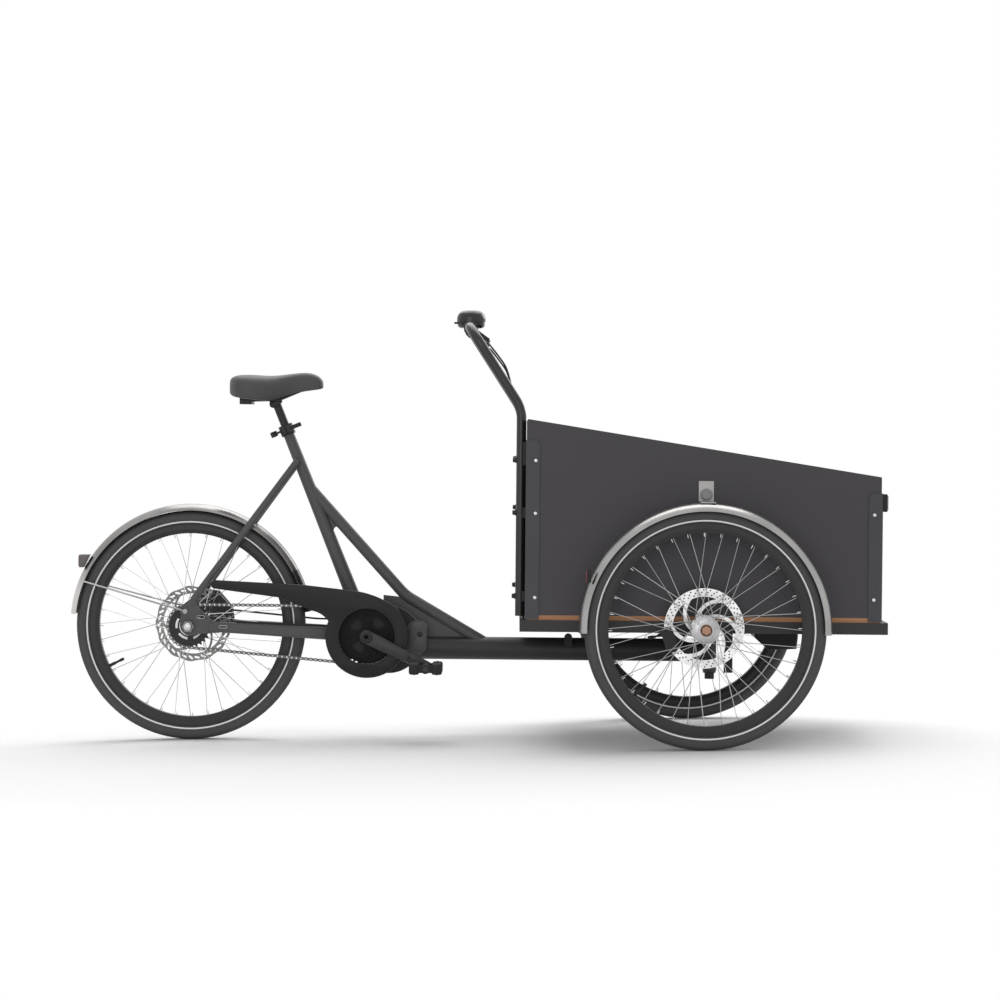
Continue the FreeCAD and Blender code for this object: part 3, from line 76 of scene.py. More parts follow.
def joint_place(name):
    """Point on a joint's axis."""
    return Vector(JOINTS[name]["pos_m"])


def side_place(point):
    """Level x and z of a point of the row frame."""
    flat = LEVEL_TURN.transposed() @ (point - REAR_AXLE)
    return flat.x, flat.z + WHEEL_RADIUS


WHEELS = {
    "rear": ("rear_wheel", joint_place("rear_wheel_spin")),
    "front_left": ("front_left_wheel", joint_place("front_left_wheel_spin")),
    "front_right": ("front_right_wheel", joint_place("front_right_wheel_spin")),
}


class Value:
    """A shader socket that takes part in Python arithmetic: each operation adds a Math node."""

    def __init__(self, look, socket):
        self.look = look
        self.socket = socket

    def math(self, operation, *inputs):
        return self.look.add("ShaderNodeMath", {"operation": operation}, dict(enumerate(inputs)))

    def __add__(self, other):
        return self.math("ADD", self, other)

    def __radd__(self, other):
        return self.math("ADD", other, self)

    def __sub__(self, other):
        return self.math("SUBTRACT", self, other)

    def __rsub__(self, other):
        return self.math("SUBTRACT", other, self)

    def __mul__(self, other):
        return self.math("MULTIPLY", self, other)

    def __rmul__(self, other):
        return self.math("MULTIPLY", other, self)

    def __truediv__(self, other):
        return self.math("DIVIDE", self, other)

    def __rtruediv__(self, other):
        return self.math("DIVIDE", other, self)

    def __lt__(self, other):
        return self.math("LESS_THAN", self, other)


class Look:
    """A procedural material or world being put together from nodes."""

    def __init__(self, name, kind="materials"):
        self.owner = getattr(bpy.data, kind).new(name)
        self.owner.use_nodes = True
        self.tree = self.owner.node_tree
        self.tree.nodes.clear()

    def add(self, kind, settings=None, inputs=None, output=0):
        """A node of that type: settings first, then socket values or links."""
        node = self.tree.nodes.new(kind)
        for key, value in (settings or {}).items():
            setattr(node, key, value)
        for key, value in (inputs or {}).items():
            if isinstance(value, Value):
                self.tree.links.new(value.socket, node.inputs[key])
            else:
                node.inputs[key].default_value = value
        return Value(self, node.outputs[output]) if node.outputs else None

    def place(self):
        """Object coordinates, which ride with the piece."""
        return self.add("ShaderNodeTexCoord", output=3)

    def stretched(self, scale):
        """Object coordinates scaled along each axis."""
        return self.add("ShaderNodeVectorMath", {"operation": "MULTIPLY"}, {0: self.place(), 1: scale})

    def axis(self, name):
        """One component of the object coordinates."""
        return self.add("ShaderNodeSeparateXYZ", None, {0: self.place()}, output="XYZ".index(name))

    def noise(self, scale, detail=3.0, vector=None):
        """Noise between 0 and 1."""
        return self.add("ShaderNodeTexNoise", None,
                        {"Vector": vector or self.place(), "Scale": scale, "Detail": detail})

    def ramp(self, value, low, high):
        """Value spread from 0 at low to 1 at high."""
        return self.add("ShaderNodeMapRange", {"clamp": True},
                        {"Value": value, "From Min": low, "From Max": high})

    def mix(self, factor, a, b):
        """Blend of two colours."""
        return self.add("ShaderNodeMix", {"data_type": "RGBA"}, {0: factor, 6: a, 7: b}, output=2)

    def mottled(self, noise, low, high, rgb, dark, pale):
        """A colour's darker shade where noise is low, going over to its paler shade where it is high."""
        return self.mix(self.ramp(noise, low, high), colour(rgb, dark), colour(rgb, pale))

    def bump(self, height, strength, distance):
        """Normal from a height."""
        return self.add("ShaderNodeBump", None,
                        {"Height": height, "Strength": strength, "Distance": distance})

    def tilt(self):
        """How far a face looks up or down: 1 for level faces, 0 for upright ones."""
        facing = self.add("ShaderNodeNewGeometry", output="Normal")
        upward = self.add("ShaderNodeSeparateXYZ", None, {0: facing}, output="Z")
        return upward.math("ABSOLUTE", upward)

    def radius_about(self, centre):
        """Distance from an axle, in the wheel's own plane."""
        offset = self.add("ShaderNodeVectorMath", {"operation": "SUBTRACT"}, {0: self.place(), 1: centre})
        flat = self.add("ShaderNodeVectorMath", {"operation": "MULTIPLY"}, {0: offset, 1: (1, 0, 1)})
        return self.add("ShaderNodeVectorMath", {"operation": "LENGTH"}, {0: flat}, output=1)

    def surface(self, **sockets):
        """Close the material with a principled surface."""
        inputs = {key.replace("_", " ").title().replace("Ior", "IOR"): value
                  for key, value in sockets.items()}
        return self.close(self.add("ShaderNodeBsdfPrincipled", None, inputs))

    def close(self, shader, kind="ShaderNodeOutputMaterial"):
        """Send a shader to the output."""
        self.add(kind, None, {"Surface": shader})
        return self.owner


def colour(rgb, gain=1.0):
    """Opaque colour, made lighter or darker."""
    return tuple(c * gain for c in rgb[:3]) + (1.0,)


def powder_coat(name, rgb, rough=0.42, sheen=0.32):
    """Satin powder coat: fine orange peel, faint cloudiness and a slightly rubbed sheen."""
    look = Look(name)
    peel = look.noise(900.0, 2.0)
    cloud = look.noise(7.0, 4.0)
    tint = look.mottled(cloud, 0.3, 0.7, rgb, 0.92, 1.08)
    return look.surface(base_color=tint, roughness=rough - 0.06 + cloud * 0.12, specular_ior_level=sheen,
                        normal=look.bump(peel, 0.12, 0.0004))


def moulded_plastic(name, rgb, rough=0.5):
    """Moulded plastic with a fine spark-eroded grain."""
    look = Look(name)
    grain = look.noise(1600.0, 3.0)
    scuff = look.noise(45.0, 5.0)
    tint = look.mottled(scuff, 0.35, 0.75, rgb, 0.9, 1.15)
    return look.surface(base_color=tint, roughness=rough - 0.05 + scuff * 0.14, specular_ior_level=0.3,
                        normal=look.bump(grain, 0.25, 0.0003))


def rubber(name, rgb):
    """Matt rubber with a dusty bloom."""
    look = Look(name)
    dust = look.noise(120.0, 6.0)
    tint = look.mottled(dust, 0.4, 0.8, rgb, 1.0, 1.35)
    return look.surface(base_color=tint, roughness=0.72 + dust * 0.15, normal=look.bump(dust, 0.2, 0.0005))


def bright_metal(name, rgb, rough=0.25, scale=(60.0, 900.0, 60.0)):
    """Bare metal with fine drawn lines."""
    look = Look(name)
    lines = look.noise(1.0, 4.0, look.stretched(scale))
    stain = look.noise(18.0, 4.0)
    tint = look.mottled(stain, 0.3, 0.75, rgb, 0.9, 1.04)
    return look.surface(base_color=tint, metallic=1.0, roughness=rough - 0.05 + lines * 0.12,
                        normal=look.bump(lines, 0.08, 0.0003))


def box_panel(name, rgb):
    """Film-faced board: dull film over a faint wood figure, plies showing on the cut top edge."""
    look = Look(name)
    figure = look.noise(1.0, 5.0, look.stretched((5.0, 5.0, 70.0)))
    film = look.noise(700.0, 2.0)
    skin = look.mottled(figure, 0.3, 0.7, rgb, 0.975, 1.025)
    plies = look.noise(1.0, 3.0, look.stretched((6.0, 900.0, 6.0)))
    edge = look.mix(plies, (0.055, 0.032, 0.022, 1), (0.13, 0.075, 0.046, 1))
    tint = look.mix(look.ramp(look.tilt(), 0.8, 0.9), skin, edge)
    return look.surface(base_color=tint, roughness=0.5 + figure * 0.06, specular_ior_level=0.3,
                        normal=look.bump(film + figure * 0.3, 0.08, 0.0005))


def floor_ply(name):
    """Plywood faced with dark film, whose cut edge shows brown plies."""
    look = Look(name)
    plies = look.add("ShaderNodeTexWave", {"bands_direction": "Z"},
                     {"Vector": look.place(), "Scale": 90.0, "Distortion": 0.6, "Detail": 2.0}, output=1)
    fibre = look.noise(1.0, 5.0, look.stretched((9.0, 60.0, 400.0)))
    edge = look.mix(plies * 0.55 + fibre * 0.45, (0.30, 0.135, 0.062, 1), (0.60, 0.31, 0.155, 1))
    film = look.mix(look.noise(240.0, 3.0), (0.040, 0.037, 0.036, 1), (0.062, 0.058, 0.056, 1))
    tint = look.mix(look.ramp(look.tilt(), 0.8, 0.9), edge, film)
    return look.surface(base_color=tint, roughness=0.62 + fibre * 0.15, normal=look.bump(fibre, 0.25, 0.0006))


def tyre_rubber(name, centre):
    """Dark grey tyre with a pale reflective line round each wall, and a painted highlight as a paler band on the
    outer shoulder.
    """
    look = Look(name)
    radius = look.radius_about(centre)
    line = radius.math("ABSOLUTE", radius - REFLECTIVE_RADIUS) < REFLECTIVE_HALF
    dust = look.noise(160.0, 5.0)
    wall = look.mix(look.ramp(dust, 0.35, 0.8), (0.058, 0.058, 0.061, 1), (0.078, 0.077, 0.080, 1))
    # painted highlight: a paler band round the outer shoulder
    wall_and_shoulder_highlight = look.mix(look.ramp(radius, 0.278, 0.285), wall, (0.076, 0.075, 0.079, 1))
    tread = look.mix(look.ramp(radius, 0.292, 0.298), wall_and_shoulder_highlight, (0.055, 0.054, 0.056, 1))
    tint = look.mix(line, tread, (0.95, 0.96, 0.97, 1))
    rings = radius.math("SINE", radius * 2600.0)
    return look.surface(base_color=tint, roughness=0.74 + dust * 0.12 - line * 0.3,
                        normal=look.bump(rings * 0.3 + dust, 0.18, 0.0005))


def turned_steel(name, centre, rgb, rough=0.28):
    """Steel ground in circles about an axle."""
    look = Look(name)
    radius = look.radius_about(centre)
    rings = look.noise(1400.0, 4.0, look.add("ShaderNodeCombineXYZ", None, {0: radius}))
    heat = look.noise(14.0, 3.0)
    tint = look.mottled(heat, 0.35, 0.65, rgb, 0.75, 1.06)
    return look.surface(base_color=tint, metallic=1.0, roughness=rough - 0.08 + rings * 0.2,
                        normal=look.bump(rings, 0.15, 0.0003))


def rolled_steel(name, centre, rgb, toe=None):
    """Polished mudguard steel with faint rolling marks along its arc, painted black below the toe angle; a painted
    dark reflection lies just above the toe and a painted highlight towards the rear end.
    """
    look = Look(name)
    radius = look.radius_about(centre)
    marks = look.noise(420.0, 4.0, look.add("ShaderNodeCombineXYZ", None, {0: radius, 1: look.axis("Y")}))
    haze = look.noise(9.0, 5.0)
    tint = look.mottled(haze, 0.3, 0.75, rgb, 0.80, 1.12)
    metal = 1.0
    if toe:
        ahead, rise = look.axis("X") - centre.x, look.axis("Z") - centre.z
        turn = rise.math("ARCTAN2", rise, ahead)
        # painted reflection: the steel darker in a band just above the black toe
        tint = look.mix(look.ramp(turn, toe + 0.35, toe + 0.55), colour(rgb, 0.5), tint)
        # painted highlight: the steel paler towards the rear end
        tint = look.mix(look.ramp(turn, 2.60, 2.85), tint, colour(rgb, 1.9))
        painted = turn < toe
        tint = look.mix(painted, tint, colour(BLACK))
        metal = 1.0 - painted
    return look.surface(base_color=tint, metallic=metal, roughness=0.2 + haze * 0.1 + marks * 0.06,
                        normal=look.bump(marks, 0.05, 0.0003))


def saddle_skin(name, rgb):
    """Leather-grained saddle skin, paler where use has polished it."""
    look = Look(name)
    cells = look.add("ShaderNodeTexVoronoi", {"feature": "DISTANCE_TO_EDGE"},
                     {"Vector": look.place(), "Scale": 420.0})
    creases = look.ramp(cells, 0.0, 0.18)
    polish = look.noise(11.0, 4.0)
    tint = look.mottled(polish, 0.3, 0.7, rgb, 0.9, 1.1)
    return look.surface(base_color=look.mix(creases, colour(rgb, 0.7), tint), roughness=0.55 - polish * 0.1,
                        normal=look.bump(creases, 0.25, 0.0004))


def lens(name, rgb, painted_glow):
    """Moulded lens over rows of corner-cube prisms, with a faint painted glow though no light shines behind it."""
    look = Look(name)
    prisms = look.add("ShaderNodeTexVoronoi", {"distance": "CHEBYCHEV"},
                      {"Vector": look.place(), "Scale": 260.0, "Randomness": 0.0})
    tint = look.mottled(prisms, 0.1, 0.6, rgb, 0.55, 1.2)
    # the emission is a painted glow: lenses and reflectors shine though nothing lights them from behind
    return look.surface(base_color=tint, roughness=0.12 + prisms * 0.1, coat_weight=0.6,
                        emission_color=tint, emission_strength=painted_glow, normal=look.bump(prisms, 0.3, 0.0008))


REFLECTIVE_RADIUS = 0.2737
REFLECTIVE_HALF = 0.0018
ANTHRACITE = (0.090, 0.090, 0.094)
PANEL = (0.070, 0.065, 0.072)
BLACK = (0.017, 0.017, 0.018)
GUARD = (0.0095, 0.0095, 0.0098)
STEEL = (0.62, 0.62, 0.63)
EVEN_GRAIN = (500.0, 500.0, 500.0)
BOLT_GRAIN = (300.0, 300.0, 300.0)

# colour, roughness and sheen
POWDER_COATS = {
    "frame_paint": (ANTHRACITE,),
    "black_parts": (BLACK, 0.38),
    "motor_black": (BLACK, 0.46),
    "alloy_black": ((0.014, 0.014, 0.015), 0.34),
    "bell_paint": ((0.008, 0.008, 0.009), 0.15, 0.5),
    "gloss_black": ((0.013, 0.013, 0.014), 0.2, 0.5),
    "rim_alloy": ((0.034, 0.034, 0.036), 0.36),
    "ring_black": ((0.009, 0.009, 0.0095), 0.5, 0.15),
    "chassis_paint": ((0.036, 0.036, 0.038), 0.45),
    "strip_paint": ((0.068, 0.068, 0.077), 0.4),
    "crank_alloy": ((0.040, 0.040, 0.042), 0.34),
}
# colour and roughness
PLASTICS = {
    "guard_black": (GUARD, 0.42),
    "pedal_plastic": ((0.019, 0.019, 0.020), 0.6),
    "pale_jacket": ((0.60, 0.61, 0.62), 0.45),
    "lamp_smoke": ((0.17, 0.15, 0.15), 0.35),
}
# colour, roughness and the scale of the drawn lines
BARE_METALS = {
    "bright_steel": (STEEL,),
    "nut_steel": ((0.20, 0.20, 0.205), 0.34),
    "spoke_steel": ((0.47, 0.47, 0.475), 0.3),
    "chain_steel": ((0.13, 0.125, 0.12), 0.36, EVEN_GRAIN),
    "roller_steel": ((0.58, 0.57, 0.56), 0.28, EVEN_GRAIN),
    "copper_bolt": ((0.36, 0.21, 0.14), 0.32, BOLT_GRAIN),
}
# colour and painted glow
LENSES = {
    "red_lens": ((0.24, 0.010, 0.010), 0.03),
    "clear_lens": ((0.62, 0.64, 0.66), 0.05),
}
# function that makes the finish, and its colour
OTHERS = {
    "soft_rubber": (rubber, (0.020, 0.020, 0.021)),
    "saddle_skin": (saddle_skin, (0.072, 0.071, 0.074)),
    "box_board": (box_panel, PANEL),
    "floor_ply": (floor_ply,),
}
# turn below which the rear mudguard is painted black
GUARD_TOE = math.radians(27)


def finishes():
    """Materials by the name of the slot or piece that wears them."""
    kinds = ((powder_coat, POWDER_COATS), (moulded_plastic, PLASTICS), (bright_metal, BARE_METALS),
             (lens, LENSES))
    made = {name: kind(name, *settings) for kind, table in kinds for name, settings in table.items()}
    made.update({name: kind(name, *settings) for name, (kind, *settings) in OTHERS.items()})
    for wheel, (_, centre) in WHEELS.items():
        made[wheel + "_tyre"] = tyre_rubber(wheel + "_tyre", centre)
        made[wheel + "_hub"] = turned_steel(wheel + "_hub", centre, (0.56, 0.555, 0.57), 0.34)
        if wheel != "rear":
            made[wheel + "_rotor"] = turned_steel(wheel + "_rotor", centre, (0.90, 0.885, 0.89))
    rear, front = WHEELS["rear"][1], WHEELS["front_right"][1]
    made["rear_rotor"] = turned_steel("rear_slotted_rotor", rear, (0.24, 0.235, 0.23), 0.36)
    made["rear_mudguard"] = rolled_steel("rear_mudguard", rear, (0.31, 0.30, 0.295), GUARD_TOE)
    made["front_mudguards"] = rolled_steel("front_mudguards", front, (0.36, 0.355, 0.35))
    return made


FINISH = {}


def dress(obj, finish):
    """Give an object one finish."""
    obj.data.materials.clear()
    obj.data.materials.append(FINISH[finish])


def mesh_data(name, mesh):
    """Mesh data from a bmesh, which is freed."""
    data = bpy.data.meshes.new(name)
    mesh.to_mesh(data)
    mesh.free()
    return data


def placed(name, data):
    """New object in the scene."""
    obj = bpy.data.objects.new(name, data)
    bpy.context.scene.collection.objects.link(obj)
    return obj


def joined(name, mesh, finish, body, stands_for=None):
    """Object from a bmesh, riding a body and the CAD node that it stands for."""
    bmesh.ops.recalc_face_normals(mesh, faces=mesh.faces)
    data = mesh_data(name, mesh)
    data.shade_smooth()
    data.set_sharp_from_angle(angle=math.radians(38))
    obj = placed(name, data)
    dress(obj, finish)
    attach(obj, body)
    if stands_for:
        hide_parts(stands_for)
    return obj


class FinishSettings(bpy.types.PropertyGroup):
    """How the paint and the stage look."""

    backdrop: bpy.props.FloatProperty(name="Backdrop", description="Brightness of the white backdrop",
                                      default=1.0, min=0.0, max=1.0)
    ambient: bpy.props.FloatProperty(name="Ambient", description="Light from all round the studio",
                                     default=0.54, min=0.0)
    overhead: bpy.props.FloatProperty(name="Overhead", description="Power of the soft overhead light",
                                      default=135.0, min=0.0, subtype="POWER")
    front: bpy.props.FloatProperty(name="Front", description="Power of the soft light on the near side",
                                   default=40.0, min=0.0, subtype="POWER")
    edge: bpy.props.FloatProperty(name="Edge",
                                  description="Power of the light behind the box that draws edges",
                                  default=70.0, min=0.0, subtype="POWER")
    view_distance: bpy.props.FloatProperty(name="View distance", description="Camera's distance to the side",
                                           default=7.323, unit="LENGTH")


class TRICYCLE_OT_finishes(bpy.types.Operator):
    """Give every CAD piece its finish"""

    bl_idname = "tricycle.finishes"
    bl_label = "Finishes"

    def execute(self, context):
        FINISH.update(finishes())
        for part in frame["record"]["subparts"]:
            dress(NODES[part["node"]], finish_of(part["node"], part["material_slot"]))
        return {"FINISHED"}


def finish_of(node, slot):
    """Finish of a CAD node: pieces of a wheel are turned about their own axle."""
    wheel = next((w for w in WHEELS if node.startswith(w)), None)
    if slot == "tyre_rubber":
        return wheel + "_tyre"
    if node.endswith("rotor"):
        return wheel + "_rotor"
    if slot == "polished_steel":
        return node
    if node.endswith("hub"):
        return wheel + "_hub"
    if node.endswith("rim"):
        return "rim_alloy"
    if node.endswith("spokes"):
        return "spoke_steel"
    return NODE_FINISH.get(node, slot)


NODE_FINISH = {
    "rear_axle": "nut_steel",
    "kingpin": "black_parts",
    "handlebar_clamps": "black_parts",
    "front_calipers": "black_parts",
    "rear_caliper": "black_parts",
    "handlebar": "gloss_black",
    "corner_posts": "strip_paint",
    "chassis_frame": "chassis_paint",
    "main_tube": "chassis_paint",
}


FLOOR_HALF = 9.0
FLOOR_FADE = (0.5, 1.5)
# yaw, pitch and roll, in degrees
CAMERA_TURN = (-0.381, -1.34, -0.663)
CAMERA_LENS = 99.56
CAMERA_X = 0.1291
CAMERA_Z = 0.7962

# place, target and size of each soft light, whose power is a setting of the same name
LIGHTS = {
    "overhead": ((0.3, 1.7, 4.2), (0.3, -0.1, 0.0), 4.4),
    "edge": ((3.4, 3.2, 2.6), (0.1, 0.0, 0.5), 2.4),
    "front": ((-1.6, -6.5, 2.2), (0.1, 0.0, 0.6), 4.0),
}


class TRICYCLE_OT_stage(bpy.types.Operator):
    """White studio with a pale floor, soft lights and the side-on camera"""

    bl_idname = "tricycle.stage"
    bl_label = "Stage"

    def execute(self, context):
        scene = context.scene
        settings = scene.tricycle_finish
        scene.view_settings.view_transform = "Standard"
        scene.world = white_world(settings.ambient, settings.backdrop)
        floor = studio_floor()
        lamps = [soft_light(name + "_light", *light, getattr(settings, name))
                 for name, light in LIGHTS.items()]
        scene.camera = side_camera(settings.view_distance)
        return {"FINISHED"}


def white_world(ambient, backdrop):
    """Even studio light; the camera, mirrors and clear pieces see a white backdrop."""
    look = Look("studio", "worlds")
    seen = look.add("ShaderNodeLightPath", output="Is Camera Ray")
    for ray in ("Is Glossy Ray", "Is Transmission Ray"):
        seen = seen.math("MAXIMUM", seen, look.add("ShaderNodeLightPath", output=ray))
    light = look.add("ShaderNodeBackground", None,
                     {"Color": (1, 1, 1, 1), "Strength": ambient + seen * (backdrop - ambient)})
    return look.close(light, "ShaderNodeOutputWorld")


def studio_floor():
    """Pale floor that keeps the shadow and fades into the backdrop."""
    mesh = bmesh.new()
    bmesh.ops.create_grid(mesh, x_segments=2, y_segments=2, size=FLOOR_HALF)
    floor = placed("studio_floor", mesh_data("studio_floor", mesh))
    look = Look("studio_floor")
    reach = look.add("ShaderNodeVectorMath", {"operation": "LENGTH"},
                     {0: look.stretched((0.62, 1.0, 0.0))}, output=1)
    speck = look.noise(30.0, 3.0)
    paper = look.add("ShaderNodeBsdfDiffuse", None,
                     {"Color": look.mix(speck, (0.955, 0.955, 0.957, 1), (0.975, 0.975, 0.977, 1))})
    beyond = look.add("ShaderNodeBsdfTransparent")
    fade = look.add("ShaderNodeMixShader", None, {0: look.ramp(reach, *FLOOR_FADE), 1: paper, 2: beyond})
    floor.data.materials.append(look.close(fade))
    return floor


def soft_light(name, place, target, size, power):
    """Square soft box aimed at a point."""
    data = bpy.data.lights.new(name, "AREA")
    data.size = size
    data.energy = power
    lamp = placed(name, data)
    lamp.location = place
    lamp.rotation_euler = (Vector(target) - Vector(place)).to_track_quat("-Z", "Y").to_euler()
    return lamp


def side_camera(distance):
    """Camera on the right-hand side, as the photo was taken."""
    yaw, pitch, roll = (math.radians(a) for a in CAMERA_TURN)
    ahead = Vector((math.sin(yaw) * math.cos(pitch), math.cos(yaw) * math.cos(pitch), math.sin(pitch)))
    right = Vector((math.cos(yaw), -math.sin(yaw), 0.0))
    up = right.cross(ahead)
    turned_right = right * math.cos(roll) + up * math.sin(roll)
    turned_up = up * math.cos(roll) - right * math.sin(roll)
    data = bpy.data.cameras.new("side_camera")
    data.sensor_width = 36.0
    data.lens = CAMERA_LENS
    camera = placed("side_camera", data)
    turn = Matrix((turned_right, turned_up, -ahead)).transposed()
    camera.matrix_world = Matrix.Translation((CAMERA_X, -distance, CAMERA_Z)) @ turn.to_4x4()
    return camera


def spoke(turn):
    """Direction in a wheel's plane."""
    return Vector((math.cos(turn), 0, math.sin(turn)))


def polar(radius, turn, centre=(0, 0)):
    """Point of a side view at a radius and a turn about a centre."""
    return centre[0] + radius * math.cos(turn), centre[1] + radius * math.sin(turn)


def revolved(profile, centre, segments=144):
    """Closed (y, r) profile turned about an axle along y."""
    mesh = bmesh.new()
    rings = []
    for k in range(segments):
        out = spoke(2 * math.pi * k / segments)
        rings.append([mesh.verts.new(centre + out * r + ACROSS * y) for y, r in profile])
    for ring, after in zip(rings, rings[1:] + rings[:1]):
        for i in range(len(profile)):
            j = (i + 1) % len(profile)
            mesh.faces.new((ring[i], ring[j], after[j], after[i]))
    return mesh


def circle(centre, radius, count=48):
    """Points of a circle in a side view."""
    return [polar(radius, 2 * math.pi * k / count, centre) for k in range(count)]


def cut_plate(outlines, thick, bevel=0.0):
    """Flat plate in the side view: outlines fill, those inside them cut holes."""
    curve = bpy.data.curves.new("cut_plate", "CURVE")
    curve.dimensions = "2D"
    curve.fill_mode = "BOTH"
    curve.extrude = thick / 2 - bevel
    curve.bevel_depth = bevel
    curve.offset = -bevel
    curve.bevel_resolution = 1
    for outline in outlines:
        spline = curve.splines.new("POLY")
        spline.points.add(len(outline) - 1)
        for point, (x, z) in zip(spline.points, outline):
            point.co = (x, z, 0, 1)
        spline.use_cyclic_u = True
    holder = bpy.data.objects.new("cut_plate", curve)
    mesh = bmesh.new()
    data = bpy.data.meshes.new_from_object(holder)
    mesh.from_mesh(data)
    bpy.data.objects.remove(holder)
    bpy.data.meshes.remove(data)
    bpy.data.curves.remove(curve)
    for vert in mesh.verts:
        vert.co = Vector((vert.co.x, -vert.co.z, vert.co.y))
    bmesh.ops.remove_doubles(mesh, verts=mesh.verts, dist=1e-6)
    return mesh


def arc(start, via, end, count=40):
    """Points of the arc from start through via to end, without its start."""
    (ax, ay), (bx, by), (cx, cy) = start, via, end
    d = 2 * (ax * (by - cy) + bx * (cy - ay) + cx * (ay - by))
    a2, b2, c2 = ax * ax + ay * ay, bx * bx + by * by, cx * cx + cy * cy
    ux = (a2 * (by - cy) + b2 * (cy - ay) + c2 * (ay - by)) / d
    uy = (a2 * (cx - bx) + b2 * (ax - cx) + c2 * (bx - ax)) / d
    radius = math.hypot(ax - ux, ay - uy)
    first, middle, last = (math.atan2(y - uy, x - ux) for x, y in (start, via, end))
    turn = (last - first) % (2 * math.pi)
    if (middle - first) % (2 * math.pi) > turn:
        turn -= 2 * math.pi
    return [polar(radius, first + turn * (k + 1) / count, (ux, uy)) for k in range(count)]


def traced(outline):
    """Side outline whose four-number entries are arcs: through a point, to a point."""
    points = [outline[0]]
    for entry in outline[1:]:
        points += arc(points[-1], entry[:2], entry[2:]) if len(entry) == 4 else [entry]
    return points


def level_plate(outlines, y0, y1, bevel=0.0):
    """Plate between two widths, outlined in the level frame."""
    about_axle = [[(x, z - WHEEL_RADIUS) for x, z in outline] for outline in outlines]
    return shifted(cut_plate(about_axle, y1 - y0, bevel), REAR_AXLE + ACROSS * ((y0 + y1) / 2), LEVEL_TURN)


def add_all(mesh, *others):
    """Add other bmeshes into the first."""
    for other in others:
        data = mesh_data("added", other)
        mesh.from_mesh(data)
        bpy.data.meshes.remove(data)
    return mesh


def shifted(mesh, place, turn=None):
    """Turn a bmesh, then move it."""
    matrix = Matrix.Translation(place) @ (turn or Matrix.Identity(3)).to_4x4()
    bmesh.ops.transform(mesh, matrix=matrix, verts=mesh.verts)
    return mesh


class WheelSettings(bpy.types.PropertyGroup):
    """Tyres and brake rotors."""

    tyre_width: bpy.props.FloatProperty(name="Tyre width", description="Widest part of a tyre", default=0.05,
                                        unit="LENGTH")
    groove_depth: bpy.props.FloatProperty(name="Groove depth", description="Depth of the tread grooves",
                                          default=0.0012, unit="LENGTH")
    rotor_radius: bpy.props.FloatProperty(name="Rotor radius", description="Outside of a brake rotor",
                                          default=0.1015, unit="LENGTH")
    rotor_arms: bpy.props.IntProperty(name="Rotor arms", description="Raked arms of a rotor", default=6,
                                      min=3)


BEAD_RADIUS = 0.267
BELLY_RADIUS = 0.2816


def tyre_profile(width, groove):
    """Closed (y, r) outline of a tyre with two tread grooves."""
    crown = WHEEL_RADIUS - BELLY_RADIUS
    tread = []
    for degrees in range(0, 91, 6):
        a = math.radians(degrees)
        tread.append((width / 2 * math.cos(a) ** 0.86, BELLY_RADIUS + crown * math.sin(a) ** 0.86))
    centre = [(0.0105, WHEEL_RADIUS - 0.0012), (0.0098, WHEEL_RADIUS - 0.001 - groove),
              (0.0080, WHEEL_RADIUS - 0.0008 - groove), (0.0073, WHEEL_RADIUS - 0.0004)]
    wall = [(0.0135, 0.2612), (0.0140, BEAD_RADIUS), (0.0190, BEAD_RADIUS + 0.0024),
            (0.0228, BEAD_RADIUS + 0.0064)]
    side = wall + [p for p in tread if p[0] > 0.0115] + centre
    return side + [(-y, r) for y, r in reversed(side)]


class TRICYCLE_OT_tyres(bpy.types.Operator):
    """Rounded tyres with grooved treads"""

    bl_idname = "tricycle.tyres"
    bl_label = "Tyres"

    def execute(self, context):
        settings = context.scene.tricycle_wheels
        profile = tyre_profile(settings.tyre_width, settings.groove_depth)
        for wheel, (body, centre) in WHEELS.items():
            node = wheel + "_tyre"
            joined(wheel + "_tyre_cover", revolved(profile, centre), node, body, node)
        return {"FINISHED"}


ROTOR_THICK = 0.002
ARM_THICK = 0.00196
# outside radius, inside radius and thickness
CENTRE_RING = (0.0346, 0.0203, 0.00204)
BAND_INSIDE = 0.79
HOLE_ROWS = 36
SLOTS = 34


def drilled_rows(radius):
    """Slanting rows of three holes round a rotor band."""
    holes = []
    for row in range(HOLE_ROWS):
        for step in range(3):
            a = 2 * math.pi * row / HOLE_ROWS + math.radians(3.4) * step
            holes.append(circle(polar(radius * (0.955 - 0.057 * step), a), 0.0021, 10))
    return holes


def slotted_rows(radius):
    """Long slanting slots round a rotor band."""
    seat = Vector((radius * 0.895, 0))
    slots = []
    for row in range(SLOTS):
        turn = Matrix.Rotation(2 * math.pi * row / SLOTS, 2)
        lean = Matrix.Rotation(math.radians(52 if row % 2 else 74), 2)
        slots.append([tuple(turn @ (lean @ Vector(p) + seat)) for p in pill(0, 0, 0.0046, 0.0025)])
    return slots


def scalloped(radius, lobes, depth):
    """Wavy circle."""
    turns = [2 * math.pi * k / 240 for k in range(240)]
    return [polar(radius - depth * (0.5 + 0.5 * math.cos(lobes * a)), a) for a in turns]


